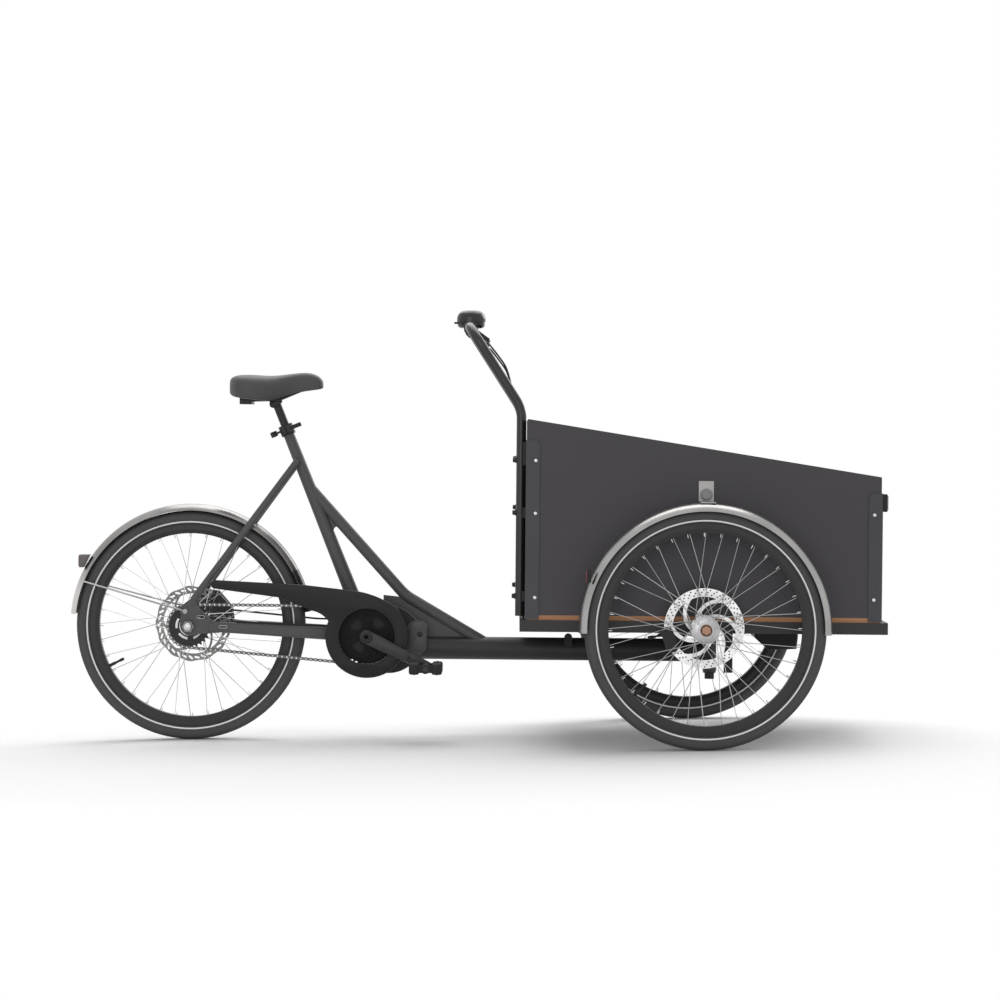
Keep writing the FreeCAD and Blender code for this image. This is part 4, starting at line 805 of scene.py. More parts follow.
def rotor_mesh(radius, arms, slotted):
    """Rotor in its own plane: drilled or slotted band, raked arms and a centre ring."""
    edge = scalloped(radius, 13, 0.003) if slotted else circle((0, 0), radius, 96)
    holes = slotted_rows(radius) if slotted else drilled_rows(radius)
    mesh = cut_plate([edge, circle((0, 0), radius * BAND_INSIDE, 96)] + holes, ROTOR_THICK)
    for arm in range(arms):
        left, right = [], []
        for step in range(9):
            t = step / 8
            a = 2 * math.pi * arm / arms - math.radians(66) * t
            half = (0.0065 - 0.003 * math.sin(math.pi * t) + 0.0035 * t) * (0.6 if slotted else 1.0)
            lean = a - math.radians(38) * (1 - t)
            out = Vector(polar(radius * (0.30 + 0.53 * t), a))
            aside = Vector((-math.sin(lean), math.cos(lean))) * half
            left.append(tuple(out + aside))
            right.append(tuple(out - aside))
        add_all(mesh, cut_plate([left + right[::-1]], ARM_THICK))
    outside, inside, thick = CENTRE_RING
    return add_all(mesh, cut_plate([circle((0, 0), outside), circle((0, 0), inside)], thick))


class TRICYCLE_OT_rotors(bpy.types.Operator):
    """Brake rotors with raked arms, drilled in front and slotted behind"""

    bl_idname = "tricycle.rotors"
    bl_label = "Rotors"

    def execute(self, context):
        settings = context.scene.tricycle_wheels
        for wheel, (body, centre) in WHEELS.items():
            node = wheel + "_rotor"
            low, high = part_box(node)
            place = Vector((centre.x, (low.y + high.y) / 2, centre.z))
            mesh = rotor_mesh(settings.rotor_radius, settings.rotor_arms, wheel == "rear")
            joined(wheel + "_drilled_rotor", shifted(mesh, place), node, body, node)
        return {"FINISHED"}


class DriveSettings(bpy.types.PropertyGroup):
    """Chain, chain wheels and pedals."""

    chain_pitch: bpy.props.FloatProperty(name="Chain pitch", description="Pin to pin", default=0.0127,
                                         unit="LENGTH")
    chain_offset: bpy.props.FloatProperty(name="Chain line", description="Chain's distance from the middle",
                                          default=0.048, unit="LENGTH")
    ring_teeth: bpy.props.IntProperty(name="Ring teeth", description="Teeth of the chainring", default=38,
                                      min=9)
    sprocket_teeth: bpy.props.IntProperty(name="Sprocket teeth", description="Teeth of the rear sprocket",
                                          default=28, min=9)
    pedal_length: bpy.props.FloatProperty(name="Pedal length", description="Pedal from front to back",
                                          default=0.086, unit="LENGTH")
    pedal_height: bpy.props.FloatProperty(name="Pedal height", description="Height of a pedal's rails",
                                          default=0.029, unit="LENGTH")


CRANK_AXIS = joint_place("crank_spin")
PLATE_END = 0.0043
PLATE_WAIST = 0.0029
PLATE_THICK = 0.0009
PLATE_OFFSETS = (0.0019, 0.0029)


def pitch_radius(teeth, pitch):
    """Radius through the pins of a chain wheel."""
    return pitch / 2 / math.sin(math.pi / teeth)


def chain_pins(settings):
    """Pin places of the closed chain in the side view, in order."""
    ring = pitch_radius(settings.ring_teeth, settings.chain_pitch)
    sprocket = pitch_radius(settings.sprocket_teeth, settings.chain_pitch)
    rear = Vector((REAR_AXLE.x, REAR_AXLE.z))
    crank = Vector((CRANK_AXIS.x, CRANK_AXIS.z))
    span = crank - rear
    along = math.atan2(span.y, span.x)
    lean = math.acos((sprocket - ring) / span.length)
    run = math.sqrt(span.length ** 2 - (ring - sprocket) ** 2)
    over_ring, over_sprocket = 2 * lean * ring, 2 * (math.pi - lean) * sprocket
    total = over_ring + run + over_sprocket + run
    count = 2 * round(total / settings.chain_pitch / 2)

    def on(wheel, turn, radius):
        return wheel + Vector(polar(1.0, turn)) * radius

    def place(s):
        if s < over_ring:
            return on(crank, along + lean - s / ring, ring)
        s -= over_ring
        if s < run:
            return on(crank, along - lean, ring).lerp(on(rear, along - lean, sprocket), s / run)
        s -= run
        if s < over_sprocket:
            return on(rear, along - lean - s / sprocket, sprocket)
        s -= over_sprocket
        return on(rear, along + lean, sprocket).lerp(on(crank, along + lean, ring), s / run)

    return [place(total * k / count) for k in range(count)]


def end_arcs(start, end, wide, narrow, count):
    """Half circles round the two ends of a bar in the side view, and the direction across the bar."""
    along = (end - start).normalized()
    side = Vector((-along.y, along.x))
    arcs = []
    for place, radius, base in ((start, wide, 90), (end, narrow, 270)):
        turns = [math.radians(base + 180 * k / count) for k in range(count + 1)]
        arcs.append([tuple(place + (along * math.cos(a) + side * math.sin(a)) * radius) for a in turns])
    return arcs, side


def tapered(start, end, wide, narrow):
    """Side outline of an arm with round ends."""
    arcs, _ = end_arcs(start, end, wide, narrow, 18)
    return arcs[0] + arcs[1]


def link_outline(start, end):
    """Waisted outline of a chain plate between two pins."""
    arcs, side = end_arcs(start, end, PLATE_END, PLATE_END, 6)
    middle = start.lerp(end, 0.5)
    return arcs[0] + [tuple(middle - side * PLATE_WAIST)] + arcs[1] + [tuple(middle + side * PLATE_WAIST)]


def pin_mesh(place, y0, y1, radius, count=8):
    """Short cylinder across the tricycle."""
    return shifted(cut_plate([circle(place, radius, count)], y1 - y0), ACROSS * ((y0 + y1) / 2))


class TRICYCLE_OT_chain(bpy.types.Operator):
    """Chain of waisted plates, rollers and pins"""

    bl_idname = "tricycle.chain"
    bl_label = "Chain"

    def execute(self, context):
        settings = context.scene.tricycle_drive
        y = -settings.chain_offset
        pins = chain_pins(settings)
        mesh, rollers = bmesh.new(), bmesh.new()
        for k, start in enumerate(pins):
            end = pins[(k + 1) % len(pins)]
            for side in (-1, 1):
                plate = cut_plate([link_outline(start, end)], PLATE_THICK)
                add_all(mesh, shifted(plate, ACROSS * (y + side * PLATE_OFFSETS[k % 2])))
            for radius, half, count in ((0.0022, 0.0042, 8), (0.0037, 0.0014, 10)):
                add_all(rollers, pin_mesh(start, y - half, y + half, radius, count))
        joined("chain_links", mesh, "chain_steel", "frame", "chain")
        joined("chain_rollers", rollers, "roller_steel", "frame")
        return {"FINISHED"}


TOOTH_TIP = 0.0026
TOOTH_THICK = 0.0024


def toothed_outline(teeth, pitch, tip):
    """Outline of a chain wheel: a seat for each roller between pointed teeth."""
    radius = pitch_radius(teeth, pitch)
    outline = []
    for k in range(teeth):
        for part, r in ((0.0, radius - 0.0041), (0.2, radius - 0.0030), (0.36, radius + tip * 0.4),
                        (0.46, radius + tip), (0.54, radius + tip), (0.64, radius + tip * 0.4),
                        (0.8, radius - 0.0030)):
            outline.append(polar(r, 2 * math.pi * (k + part) / teeth))
    return outline


def spider_window(inner, outer, start, end):
    """Opening between two arms of the spider."""
    steps = [start + (end - start) * k / 8 for k in range(9)]
    return [polar(outer, a) for a in steps] + [polar(inner, a) for a in steps[::-1]]


class TRICYCLE_OT_chain_wheels(bpy.types.Operator):
    """Toothed chainring on its spider, and the rear sprocket with its lock ring"""

    bl_idname = "tricycle.chain_wheels"
    bl_label = "Chain wheels"

    def execute(self, context):
        settings = context.scene.tricycle_drive
        line = ACROSS * -settings.chain_offset
        crank = Vector((CRANK_AXIS.x, 0, CRANK_AXIS.z)) + line
        axle = Vector((REAR_AXLE.x, 0, REAR_AXLE.z)) + line
        windows = [spider_window(0.026, 0.054, math.radians(90 * k + 26), math.radians(90 * k + 74))
                   for k in range(4)]
        outline = toothed_outline(settings.ring_teeth, settings.chain_pitch, TOOTH_TIP)
        mesh = cut_plate([outline, circle((0, 0), 0.0122)] + windows, TOOTH_THICK)
        for k in range(4):
            bolt = polar(0.052, math.radians(90 * k + 5))
            add_all(mesh, pin_mesh(bolt, -0.0052, 0.0042, 0.0055, 16),
                    pin_mesh(bolt, -0.0062, 0.0, 0.0030, 6))
        joined("toothed_chainring", shifted(mesh, crank), "ring_black", "crank", "chainring")
        outline = toothed_outline(settings.sprocket_teeth, settings.chain_pitch, TOOTH_TIP)
        mesh = cut_plate([outline, circle((0, 0), 0.0201)], TOOTH_THICK)
        joined("toothed_sprocket", shifted(mesh, axle), "black_parts", "sprocket",
               "rear_sprocket")
        arcs = [spider_window(0.0300, 0.0365, math.radians(72 * k), math.radians(72 * k + 46))
                for k in range(5)]
        nut = cut_plate([circle((0, 0), 0.0262), circle((0, 0), 0.0225)], 0.0060, 0.0004)
        mesh = add_all(cut_plate(arcs, 0.0050, 0.0004), nut)
        joined("sprocket_lockring", shifted(mesh, axle), "rear_hub", "sprocket")
        return {"FINISHED"}


# level side outline of the chain guard; entries of four numbers are arcs through a point to a point
CHAIN_GUARD = (
    (0.072, 0.427), (0.307, 0.416), (0.444, 0.401), (0.500, 0.385, 0.5471, 0.3591),
    (0.470, 0.173, 0.3686, 0.3219), (0.352, 0.338, 0.328, 0.348), (0.242, 0.382), (0.072, 0.404),
    (0.060, 0.4155, 0.072, 0.427),
)
GUARD_OPENING = 0.0735
GUARD_LIP = 0.0785
# place, radius and depth of the pegs that carry the guard
GUARD_PEGS = (((0.4283, 0.3826), 0.007, -0.020), ((0.570, 0.290), 0.006, -0.038))


class TRICYCLE_OT_chain_guard(bpy.types.Operator):
    """Moulded chain guard with rounded edges and a lip round the chainring"""

    bl_idname = "tricycle.chain_guard"
    bl_label = "Chain guard"

    def execute(self, context):
        crank = side_place(CRANK_AXIS)
        opening = circle(crank, GUARD_OPENING, 96)
        mesh = level_plate([traced(CHAIN_GUARD), opening], -0.0852, -0.0786, 0.0028)
        add_all(mesh, level_plate([circle(crank, GUARD_LIP, 96), opening], -0.0860, -0.0830, 0.0009))
        for place, radius, depth in GUARD_PEGS:
            add_all(mesh, level_plate([circle(place, radius)], -0.081, depth))
        joined("moulded_chain_guard", mesh, "guard_black", "frame", "chain_guard")
        return {"FINISHED"}


ARM_OUT = 0.0945
SPINDLE_HALF = 0.100
AXLE_ENDS = (0.099, 0.197)


class TRICYCLE_OT_crank_arms(bpy.types.Operator):
    """Forged crank arms with raised faces, their spindle and the pedal axles"""

    bl_idname = "tricycle.crank_arms"
    bl_label = "Crank arms"

    def execute(self, context):
        axis = Vector((CRANK_AXIS.x, CRANK_AXIS.z))
        mesh = pin_mesh(axis, -SPINDLE_HALF, SPINDLE_HALF, 0.012, 32)
        for name, side in (("right_pedal_spin", -1), ("left_pedal_spin", 1)):
            pedal = joint_place(name)
            end = Vector((pedal.x, pedal.z))
            arm = cut_plate([tapered(axis, end, 0.018, 0.013)], 0.013, 0.003)
            panel = tapered(axis.lerp(end, 0.2), axis.lerp(end, 0.66), 0.0125, 0.0105)
            face = cut_plate([panel], 0.004, 0.0012)
            boss = cut_plate([circle(end, 0.0105, 32), circle(end, 0.0062, 32)], 0.003, 0.0008)
            for piece, out in ((arm, ARM_OUT), (face, ARM_OUT + 0.006), (boss, ARM_OUT + 0.0062)):
                add_all(mesh, shifted(piece, ACROSS * (side * out)))
            add_all(mesh, pin_mesh(end, *sorted(side * y for y in AXLE_ENDS), 0.007, 24))
        joined("forged_crank_arms", mesh, "crank_alloy", "crank", "crankset")
        return {"FINISHED"}


def rounded_box(size, bevel):
    """Box about the origin with rounded edges."""
    mesh = bmesh.new()
    bmesh.ops.create_cube(mesh, size=1.0)
    bmesh.ops.scale(mesh, vec=size, verts=mesh.verts)
    bmesh.ops.bevel(mesh, geom=mesh.edges[:], offset=bevel, segments=3, affect="EDGES", profile=0.5)
    return mesh


PEDAL_BORE = 0.0074
RAIL_LENGTH = 0.027


def pedal_mesh(length, width, height):
    """Platform pedal about its axle: barrel, end plates and two studded rails."""
    mesh = cut_plate([circle((0, 0), 0.0120, 32), circle((0, 0), PEDAL_BORE, 32)], width)
    for end in (-1, 1):
        rail = Vector((end * (length / 2 - RAIL_LENGTH / 2), 0, 0))
        add_all(mesh, shifted(rounded_box((RAIL_LENGTH, width, height), 0.006), rail))
        cheek = pedal_cheek(length - 0.03, 0.010, height * 0.66)
        add_all(mesh, shifted(cheek, ACROSS * (end * (width / 2 - 0.0075))))
        for stud in range(5):
            for up in (-1, 1):
                foot = rail + Vector((0, (stud - 2) * width * 0.2, up * (height / 2 - 0.0005)))
                add_all(mesh, lathe(foot, (0, 0, up), [(0.0027, 0), (0.0027, 0.0012), (0.0018, 0.0018)], 12))
    return mesh


def pedal_cheek(length, width, height):
    """End plate of a pedal, bored for the axle."""
    half = length / 2
    outline = [(-half, -height / 2), (half, -height / 2), (half, height / 2), (-half, height / 2)]
    return cut_plate([outline, circle((0, 0), PEDAL_BORE, 32)], width)


class TRICYCLE_OT_pedals(bpy.types.Operator):
    """Platform pedals with rounded rails and studs"""

    bl_idname = "tricycle.pedals"
    bl_label = "Pedals"

    def execute(self, context):
        settings = context.scene.tricycle_drive
        for node, body in (("pedal_right", "right_pedal"), ("pedal_left", "left_pedal")):
            low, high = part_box(node)
            mesh = pedal_mesh(settings.pedal_length, high.y - low.y, settings.pedal_height)
            platform = shifted(mesh, (low + high) / 2, LEVEL_TURN)
            joined(body + "_platform", platform, "pedal_plastic", body, node)
        return {"FINISHED"}


class SaddleSettings(bpy.types.PropertyGroup):
    """Saddle cover."""

    rear: bpy.props.FloatProperty(name="Rear", description="Rear end ahead of the rear axle", default=0.104,
                                  unit="LENGTH")
    nose: bpy.props.FloatProperty(name="Nose", description="Nose ahead of the rear axle", default=0.344,
                                  unit="LENGTH")
    half_width: bpy.props.FloatProperty(name="Half width", description="Half the widest part", default=0.096,
                                        unit="LENGTH")
    fill: bpy.props.FloatProperty(name="Fill", description="How full the padding is", default=0.6, min=0,
                                  max=1)


# inner and outer face of a clamp cheek, from the middle
CHEEK_FACES = (0.0122, 0.0172)
SADDLE_BASE = 0.893
# along the saddle: share of its length, share of its half width, top and lower edge above the base
SADDLE_STATIONS = (
    (-0.012, 0.40, 0.0585, 0.0300),
    (0.000, 0.62, 0.0650, 0.0200),
    (0.060, 0.90, 0.0722, 0.0128),
    (0.160, 1.00, 0.0742, 0.0095),
    (0.270, 1.00, 0.0738, 0.0070),
    (0.370, 0.93, 0.0722, 0.0040),
    (0.460, 0.79, 0.0716, 0.0060),
    (0.550, 0.62, 0.0736, 0.0140),
    (0.650, 0.47, 0.0772, 0.0230),
    (0.760, 0.39, 0.0806, 0.0300),
    (0.860, 0.34, 0.0812, 0.0335),
    (0.940, 0.30, 0.0752, 0.0360),
    (0.990, 0.24, 0.0648, 0.0385),
    (1.008, 0.14, 0.0560, 0.0420),
)


def saddle_ring(x, half, top, low):
    """Section of the saddle cover: rolled skirt, full side and a slightly dished crown."""
    rise = top - low
    outline = ((0.0, low + 0.010), (0.45, low + 0.008), (0.80, low + 0.0005), (0.93, low),
               (0.985, low + 0.16 * rise), (1.0, low + 0.42 * rise), (0.965, low + 0.68 * rise),
               (0.86, low + 0.87 * rise), (0.66, low + 0.965 * rise), (0.42, top), (0.20, top - 0.0010),
               (0.0, top - 0.0022))
    side = [(half * share, height) for share, height in outline]
    return [(x, -y, z) for y, z in side] + [(x, y, z) for y, z in side[-2:0:-1]]


class TRICYCLE_OT_saddle(bpy.types.Operator):
    """Padded saddle cover with a rolled skirt, and the cheeks of the saddle clamp"""

    bl_idname = "tricycle.saddle"
    bl_label = "Saddle"

    def execute(self, context):
        settings = context.scene.tricycle_saddle
        mesh = bmesh.new()
        rings = []
        for share, wide, top, low in SADDLE_STATIONS:
            x = settings.rear + (settings.nose - settings.rear) * share
            ring = saddle_ring(x, settings.half_width * wide, SADDLE_BASE + top, SADDLE_BASE + low)
            rings.append([mesh.verts.new(level(*p)) for p in ring])
        for ring, after in zip(rings, rings[1:]):
            for k in range(len(ring)):
                n = (k + 1) % len(ring)
                mesh.faces.new((ring[k], ring[n], after[n], after[k]))
        for ring in (rings[0], rings[-1]):
            mesh.faces.new(ring)
        cover = joined("saddle_skin_cover", mesh, "saddle_skin", "saddle", "saddle_cover")
        rounding = cover.modifiers.new("rounding", "SUBSURF")
        rounding.levels = 2
        rounding.render_levels = 2
        tilt = Vector(side_place(joint_place("saddle_tilt")))
        cheek = tapered(tilt, tilt + Vector((0.0135, 0.0095)), 0.0092, 0.0085)
        cheeks = add_all(*(level_plate([cheek], *sorted(side * y for y in CHEEK_FACES), 0.0006)
                           for side in (-1, 1)))
        joined("saddle_clamp_cheeks", cheeks, "black_parts", "saddle")
        return {"FINISHED"}


def lathe(place, axis, rings, sides):
    """Solid of (radius, height) rings about an axis, closed at both ends."""
    axis = Vector(axis).normalized()
    turn = axis.to_track_quat("Z", "Y").to_matrix()
    mesh = bmesh.new()
    loops = []
    for radius, height in rings:
        points = [polar(radius, 2 * math.pi * (k + 0.5) / sides) for k in range(sides)]
        loops.append([mesh.verts.new(place + turn @ Vector((*point, height))) for point in points])
    for loop, after in zip(loops, loops[1:]):
        for k in range(sides):
            n = (k + 1) % sides
            mesh.faces.new((loop[k], loop[n], after[n], after[k]))
    mesh.faces.new(loops[0])
    mesh.faces.new(loops[-1])
    return mesh


def socket_bolt(place, axis, radius, height):
    """Domed cap with a hexagon socket."""
    rings = [(radius, 0), (radius, height * 0.55), (radius * 0.86, height * 0.9), (radius * 0.6, height),
             (radius * 0.5, height), (radius * 0.45, height * 0.4)]
    return lathe(place, axis, rings, 18)


def hex_bolt(place, axis, radius, height):
    """Hexagon head with a chamfered top on a thin washer."""
    washer = lathe(place, axis, [(radius * 1.25, 0), (radius * 1.25, height * 0.18)], 24)
    rings = [(radius, height * 0.18), (radius, height * 0.82), (radius * 0.86, height),
             (radius * 0.3, height)]
    return add_all(washer, lathe(place, axis, rings, 6))


def block(low, high, bevel):
    """Rounded block between two corners of the level frame."""
    low, high = Vector(low), Vector(high)
    return shifted(rounded_box(high - low, bevel), level(*((low + high) / 2)), LEVEL_TURN)


class HardwareSettings(bpy.types.PropertyGroup):
    """Bolts, nipples, valves and grips."""

    box_half: bpy.props.FloatProperty(name="Box half width", description="Middle to a side of the box",
                                      default=0.322, unit="LENGTH")
    strip: bpy.props.FloatProperty(name="Corner strip", description="Thickness of a corner strip",
                                   default=0.003, unit="LENGTH")
    grip_inner: bpy.props.FloatProperty(name="Grip", description="Middle of the bar to a grip's inner end",
                                        default=0.092, unit="LENGTH")
    spokes: bpy.props.IntProperty(name="Spokes", description="Spokes on each side of a wheel", default=18)
    nipple_radius: bpy.props.FloatProperty(name="Rim inside", description="Radius of the rim's inner wall",
                                           default=0.243, unit="LENGTH")


# level x and z of the bolts on each side of the box
BOX_BOLTS = ((0.908, 0.7497), (0.908, 0.616), (0.908, 0.4026), (1.766, 0.619), (1.766, 0.404))
LAMP_ENDS = (0.300, 0.328)
REFLECTOR_ENDS = (0.424, 0.434)


class TRICYCLE_OT_box_hardware(bpy.types.Operator):
    """Bolts of the box and the mudguard brackets, front lamps and side reflectors"""

    bl_idname = "tricycle.box_hardware"
    bl_label = "Box hardware"

    def execute(self, context):
        settings = context.scene.tricycle_hardware
        face = settings.box_half + settings.strip
        bolts, hexes, lamps, glasses, reflectors = (bmesh.new() for _ in range(5))
        for side in (-1, 1):
            out = ACROSS * side
            for x, z in BOX_BOLTS:
                add_all(bolts, socket_bolt(level(x, side * face, z), out, 0.0048, 0.0036))
            add_all(hexes, hex_bolt(level(1.340, side * face, 0.666), out, 0.0135, 0.008))
            near, far = sorted(side * y for y in LAMP_ENDS)
            add_all(lamps, block((1.7872, near, 0.627), (1.7985, far, 0.672), 0.0025))
            add_all(glasses, block((1.7980, near + 0.003, 0.631), (1.8012, far - 0.003, 0.668), 0.0012))
            near, far = sorted(side * y for y in REFLECTOR_ENDS)
            add_all(lamps, block((1.037, near, 0.447), (1.048, far, 0.480), 0.003))
            add_all(reflectors, block((1.0352, near + 0.001, 0.449), (1.0374, far - 0.001, 0.478), 0.0008))
        joined("box_bolts", bolts, "bright_steel", "front")
        joined("bracket_bolts", hexes, "nut_steel", "front")
        joined("front_lamp_shells", lamps, "guard_black", "front")
        joined("front_lamp_lenses", glasses, "clear_lens", "front")
        joined("side_reflectors", reflectors, "red_lens", "front")
        return {"FINISHED"}


def spoke_tip(centre, side, i, count, radius):
    """Place and direction of a spoke where it meets the rim."""
    step = 2 * math.pi / count
    a = i * step + (0 if side > 0 else step / 2) + (3 if i % 2 == 0 else -3) * step
    out = spoke(a)
    return centre + out * radius + ACROSS * (side * 0.0025), -out


# (radius, height) rings of turned pieces
NIPPLE = ((0.0017, -0.001), (0.0017, 0.006), (0.0012, 0.010))
VALVE = ((0.0042, 0), (0.0042, 0.016), (0.0032, 0.018), (0.0032, 0.030), (0.0040, 0.0305), (0.0040, 0.040),
         (0.0028, 0.0425))
HUB_CAP = ((0.0325, 0), (0.0325, 0.0035), (0.030, 0.006), (0.021, 0.0075), (0.0205, 0.0083))
CRANK_CAP = ((0.0165, 0), (0.0165, 0.0018), (0.0150, 0.0026), (0.0105, 0.0026), (0.0100, 0.0008),
             (0.0062, 0.0008), (0.0056, -0.003))
NUT_DOME = ((0.0100, -0.0030), (0.0100, 0.0012), (0.0085, 0.0030), (0.0050, 0.0042), (0.0010, 0.0046))
# where each valve sits on its wheel, in degrees
VALVE_TURN = {"rear": 206.0, "front_left": 40.0, "front_right": 222.0}


class TRICYCLE_OT_wheel_hardware(bpy.types.Operator):
    """Spoke nipples and valves"""

    bl_idname = "tricycle.wheel_hardware"
    bl_label = "Wheel hardware"

    def execute(self, context):
        settings = context.scene.tricycle_hardware
        for wheel, (body, centre) in WHEELS.items():
            nipples = bmesh.new()
            for side in (-1, 1):
                for i in range(settings.spokes):
                    place, inward = spoke_tip(centre, side, i, settings.spokes, settings.nipple_radius)
                    add_all(nipples, lathe(place, inward, NIPPLE, 6))
            joined(wheel + "_nipples", nipples, "bright_steel", body)
            out = spoke(math.radians(VALVE_TURN[wheel]))
            valve = lathe(centre + out * settings.nipple_radius, -out, VALVE, 14)
            joined(wheel + "_valve", valve, "soft_rubber", body)
        return {"FINISHED"}


class TRICYCLE_OT_axle_caps(bpy.types.Operator):
    """Copper-coloured axle bolts and hub caps of the front wheels"""

    bl_idname = "tricycle.axle_caps"
    bl_label = "Axle caps"

    def execute(self, context):
        for wheel, side in (("front_left", 1), ("front_right", -1)):
            body, centre = WHEELS[wheel]
            low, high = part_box(wheel + "_hub")
            outer = Vector((centre.x, high.y if side > 0 else low.y, centre.z))
            out = ACROSS * side
            cap = lathe(outer - out * 0.008, out, HUB_CAP, 48)
            for k in range(6):
                seat = outer + spoke(math.radians(60 * k + 17)) * 0.0262 - out * 0.0022
                add_all(cap, socket_bolt(seat, out, 0.0034, 0.0030))
            joined(wheel + "_hub_cap", cap, wheel + "_hub", body)
            bolt = hex_bolt(outer + out * 0.0004, out, 0.0125, 0.0075)
            joined(wheel + "_axle_bolt", bolt, "copper_bolt", body)
        return {"FINISHED"}


def grip_rings(length):
    """(radius, height) rings of a ribbed grip from its flange to its end."""
    rings = [(0.0127, 0.0), (0.0172, 0.0), (0.0176, 0.001), (0.0176, 0.0035), (0.0162, 0.005)]
    ribs = int((length - 0.014) / 0.0055)
    for rib in range(ribs):
        foot = 0.007 + 0.0055 * rib
        rings += [(0.0151, foot), (0.0161, foot + 0.0009), (0.0161, foot + 0.0032), (0.0151, foot + 0.0041)]
    return rings + [(0.0158, length - 0.004), (0.0152, length - 0.001), (0.0141, length), (0.0127, length)]


class TRICYCLE_OT_grips(bpy.types.Operator):
    """Ribbed rubber grips"""

    bl_idname = "tricycle.grips"
    bl_label = "Grips"

    def execute(self, context):
        low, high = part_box("grips")
        bar = (low + high) / 2
        inner = context.scene.tricycle_hardware.grip_inner
        mesh = bmesh.new()
        for side in (-1, 1):
            start = Vector((bar.x, bar.y + side * inner, bar.z))
            add_all(mesh, lathe(start, ACROSS * side, grip_rings((high.y - low.y) / 2 - inner), 40))
        joined("ribbed_grips", mesh, "soft_rubber", "front", "grips")
        return {"FINISHED"}


# CAD pieces whose edges are eased, with the width of the round
EASED = {
    "battery_case": 0.006, "corner_posts": 0.0006, "box_sides": 0.0008, "box_ends": 0.0008, "dropouts": 0.001,
    "chassis_frame": 0.0015, "seat_clamp": 0.0008, "brake_lever_left": 0.0012, "brake_lever_right": 0.0012,
}


class TRICYCLE_OT_eased_edges(bpy.types.Operator):
    """Round the sharp edges of plates, tubes and levers"""

    bl_idname = "tricycle.eased_edges"
    bl_label = "Eased edges"

    def execute(self, context):
        for node, width in EASED.items():
            weld = NODES[node].modifiers.new("weld", "WELD")
            weld.merge_threshold = 0.00001
            ease = NODES[node].modifiers.new("ease", "BEVEL")
            ease.width = width
            ease.segments = 2
            ease.limit_method = "ANGLE"
            ease.angle_limit = math.radians(40)
        return {"FINISHED"}


# level side outlines and places of small pieces on the rear frame
REAR_LAMP = ((-0.2968, 0.4873), (-0.2700, 0.4876), (-0.2862, 0.4540), (-0.2968, 0.4540))
MOTOR_BOLT = (0.6079, 0.2862)
CABLE_PORTS = ((0.0325, -0.0710, 0.3285), (0.0918, -0.0746, 0.3036))
BRACKET_FACE = (
    (0.578, 0.240), (0.620, 0.240), (0.6255, 0.246), (0.6265, 0.300), (0.624, 0.316, 0.608, 0.320),
    (0.592, 0.317), (0.578, 0.304),
)


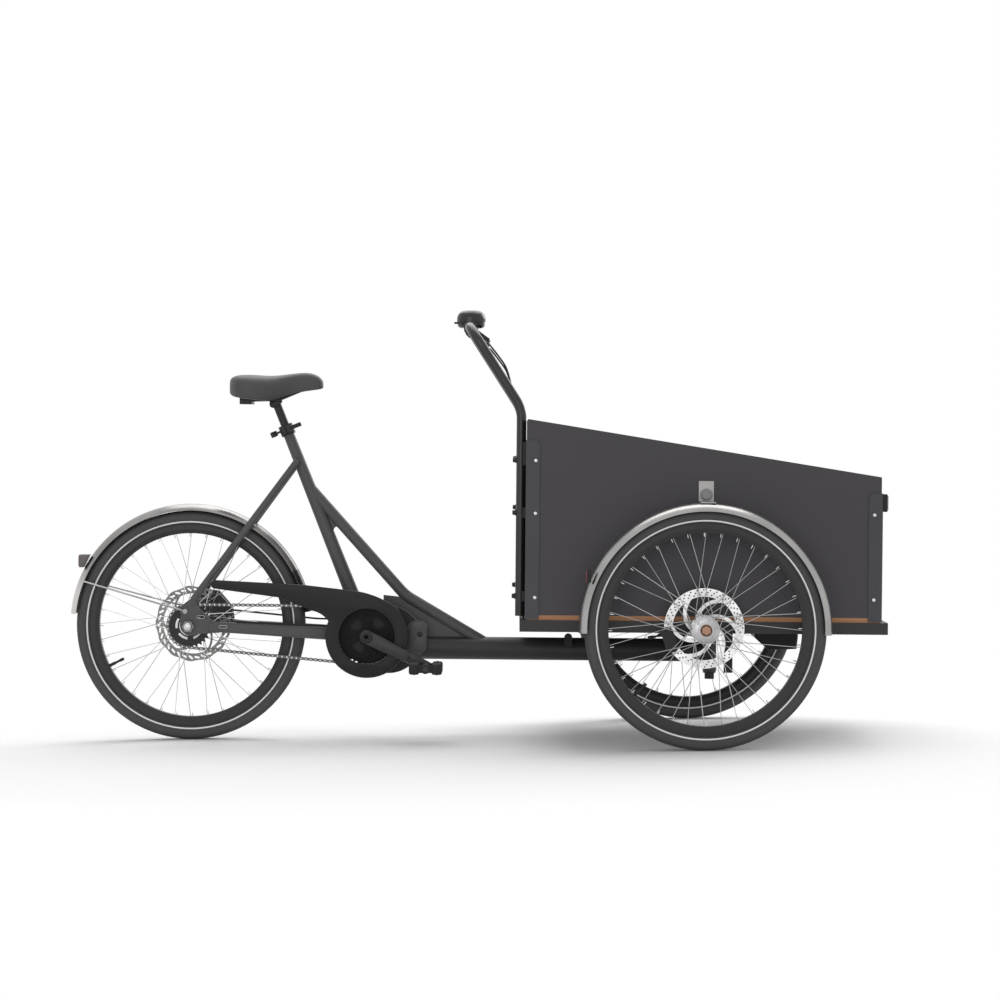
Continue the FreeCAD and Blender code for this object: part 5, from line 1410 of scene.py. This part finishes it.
class TRICYCLE_OT_frame_hardware(bpy.types.Operator):
    """Crank caps, axle nuts, rear lamp, motor bracket with its bolt, and cable ports"""

    bl_idname = "tricycle.frame_hardware"
    bl_label = "Frame hardware"

    def execute(self, context):
        caps, domes, ports = (bmesh.new() for _ in range(3))
        low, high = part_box("rear_axle")
        for side, axle_end in ((-1, low.y), (1, high.y)):
            out = ACROSS * side
            add_all(caps, lathe(Vector((CRANK_AXIS.x, side * 0.101, CRANK_AXIS.z)), out, CRANK_CAP, 32))
            add_all(domes, lathe(Vector((REAR_AXLE.x, axle_end, REAR_AXLE.z)), out, NUT_DOME, 32))
        joined("crank_caps", caps, "alloy_black", "crank")
        joined("axle_nut_domes", domes, "bright_steel", "frame")
        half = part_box("rear_lamp")[1].y
        shell = level_plate([REAR_LAMP], -half, half, 0.002)
        joined("rear_lamp_shell", shell, "lamp_smoke", "frame", "rear_lamp")
        glass = block((-0.2988, 0.004 - half, 0.4575), (-0.2955, half - 0.004, 0.4838), 0.0015)
        joined("rear_lamp_lens", glass, "red_lens", "frame")
        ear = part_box("frame_plates")[0].y
        outlines = [traced(BRACKET_FACE), circle(MOTOR_BOLT, 0.0040, 24)]
        face = level_plate(outlines, ear - 0.0026, ear + 0.0004, 0.0009)
        joined("motor_bracket_face", face, "frame_paint", "frame")
        seat = level(MOTOR_BOLT[0], ear - 0.0024, MOTOR_BOLT[1])
        bolt = socket_bolt(seat, -ACROSS, 0.0062, 0.0042)
        joined("motor_bolt", bolt, "black_parts", "frame")
        for x, y, z in CABLE_PORTS:
            rims = [pill(x, z, 0.0068, radius) for radius in (0.0042, 0.0030)]
            add_all(ports, level_plate(rims, y, y + 0.0014))
        joined("cable_ports", ports, "pale_jacket", "frame")
        return {"FINISHED"}


def pill(x, z, half, radius):
    """Outline of a slot with round ends."""
    ends = ((x + half, -90), (x - half, 90))
    return [polar(radius, math.radians(start + 15 * k), (middle, z))
            for middle, start in ends for k in range(13)]


class TRICYCLE_PT_sidebar(bpy.types.Panel):
    """Settings and steps of the dresser"""

    bl_label = "Tricycle"
    bl_space_type = "VIEW_3D"
    bl_region_type = "UI"
    bl_category = "Tricycle"

    def draw(self, context):
        for group in GROUPS:
            settings = getattr(context.scene, group)
            for key in settings.__annotations__:
                self.layout.prop(settings, key)
        for step in STEPS:
            self.layout.operator(step.bl_idname)


GROUPS = {
    "tricycle_finish": FinishSettings,
    "tricycle_wheels": WheelSettings,
    "tricycle_drive": DriveSettings,
    "tricycle_saddle": SaddleSettings,
    "tricycle_hardware": HardwareSettings,
}
STEPS = (
    TRICYCLE_OT_finishes,
    TRICYCLE_OT_tyres,
    TRICYCLE_OT_rotors,
    TRICYCLE_OT_chain,
    TRICYCLE_OT_chain_wheels,
    TRICYCLE_OT_chain_guard,
    TRICYCLE_OT_crank_arms,
    TRICYCLE_OT_pedals,
    TRICYCLE_OT_saddle,
    TRICYCLE_OT_box_hardware,
    TRICYCLE_OT_wheel_hardware,
    TRICYCLE_OT_axle_caps,
    TRICYCLE_OT_frame_hardware,
    TRICYCLE_OT_grips,
    TRICYCLE_OT_eased_edges,
    TRICYCLE_OT_stage,
)


def register():
    for kind in (*GROUPS.values(), *STEPS, TRICYCLE_PT_sidebar):
        bpy.utils.register_class(kind)
    for name, kind in GROUPS.items():
        setattr(bpy.types.Scene, name, bpy.props.PointerProperty(type=kind))


def unregister():
    for name in GROUPS:
        delattr(bpy.types.Scene, name)
    for kind in reversed((*GROUPS.values(), *STEPS, TRICYCLE_PT_sidebar)):
        bpy.utils.unregister_class(kind)


def main():
    register()
    for step in STEPS:
        group, name = step.bl_idname.split(".")
        getattr(getattr(bpy.ops, group), name)()


if __name__ == "__main__":
    main()
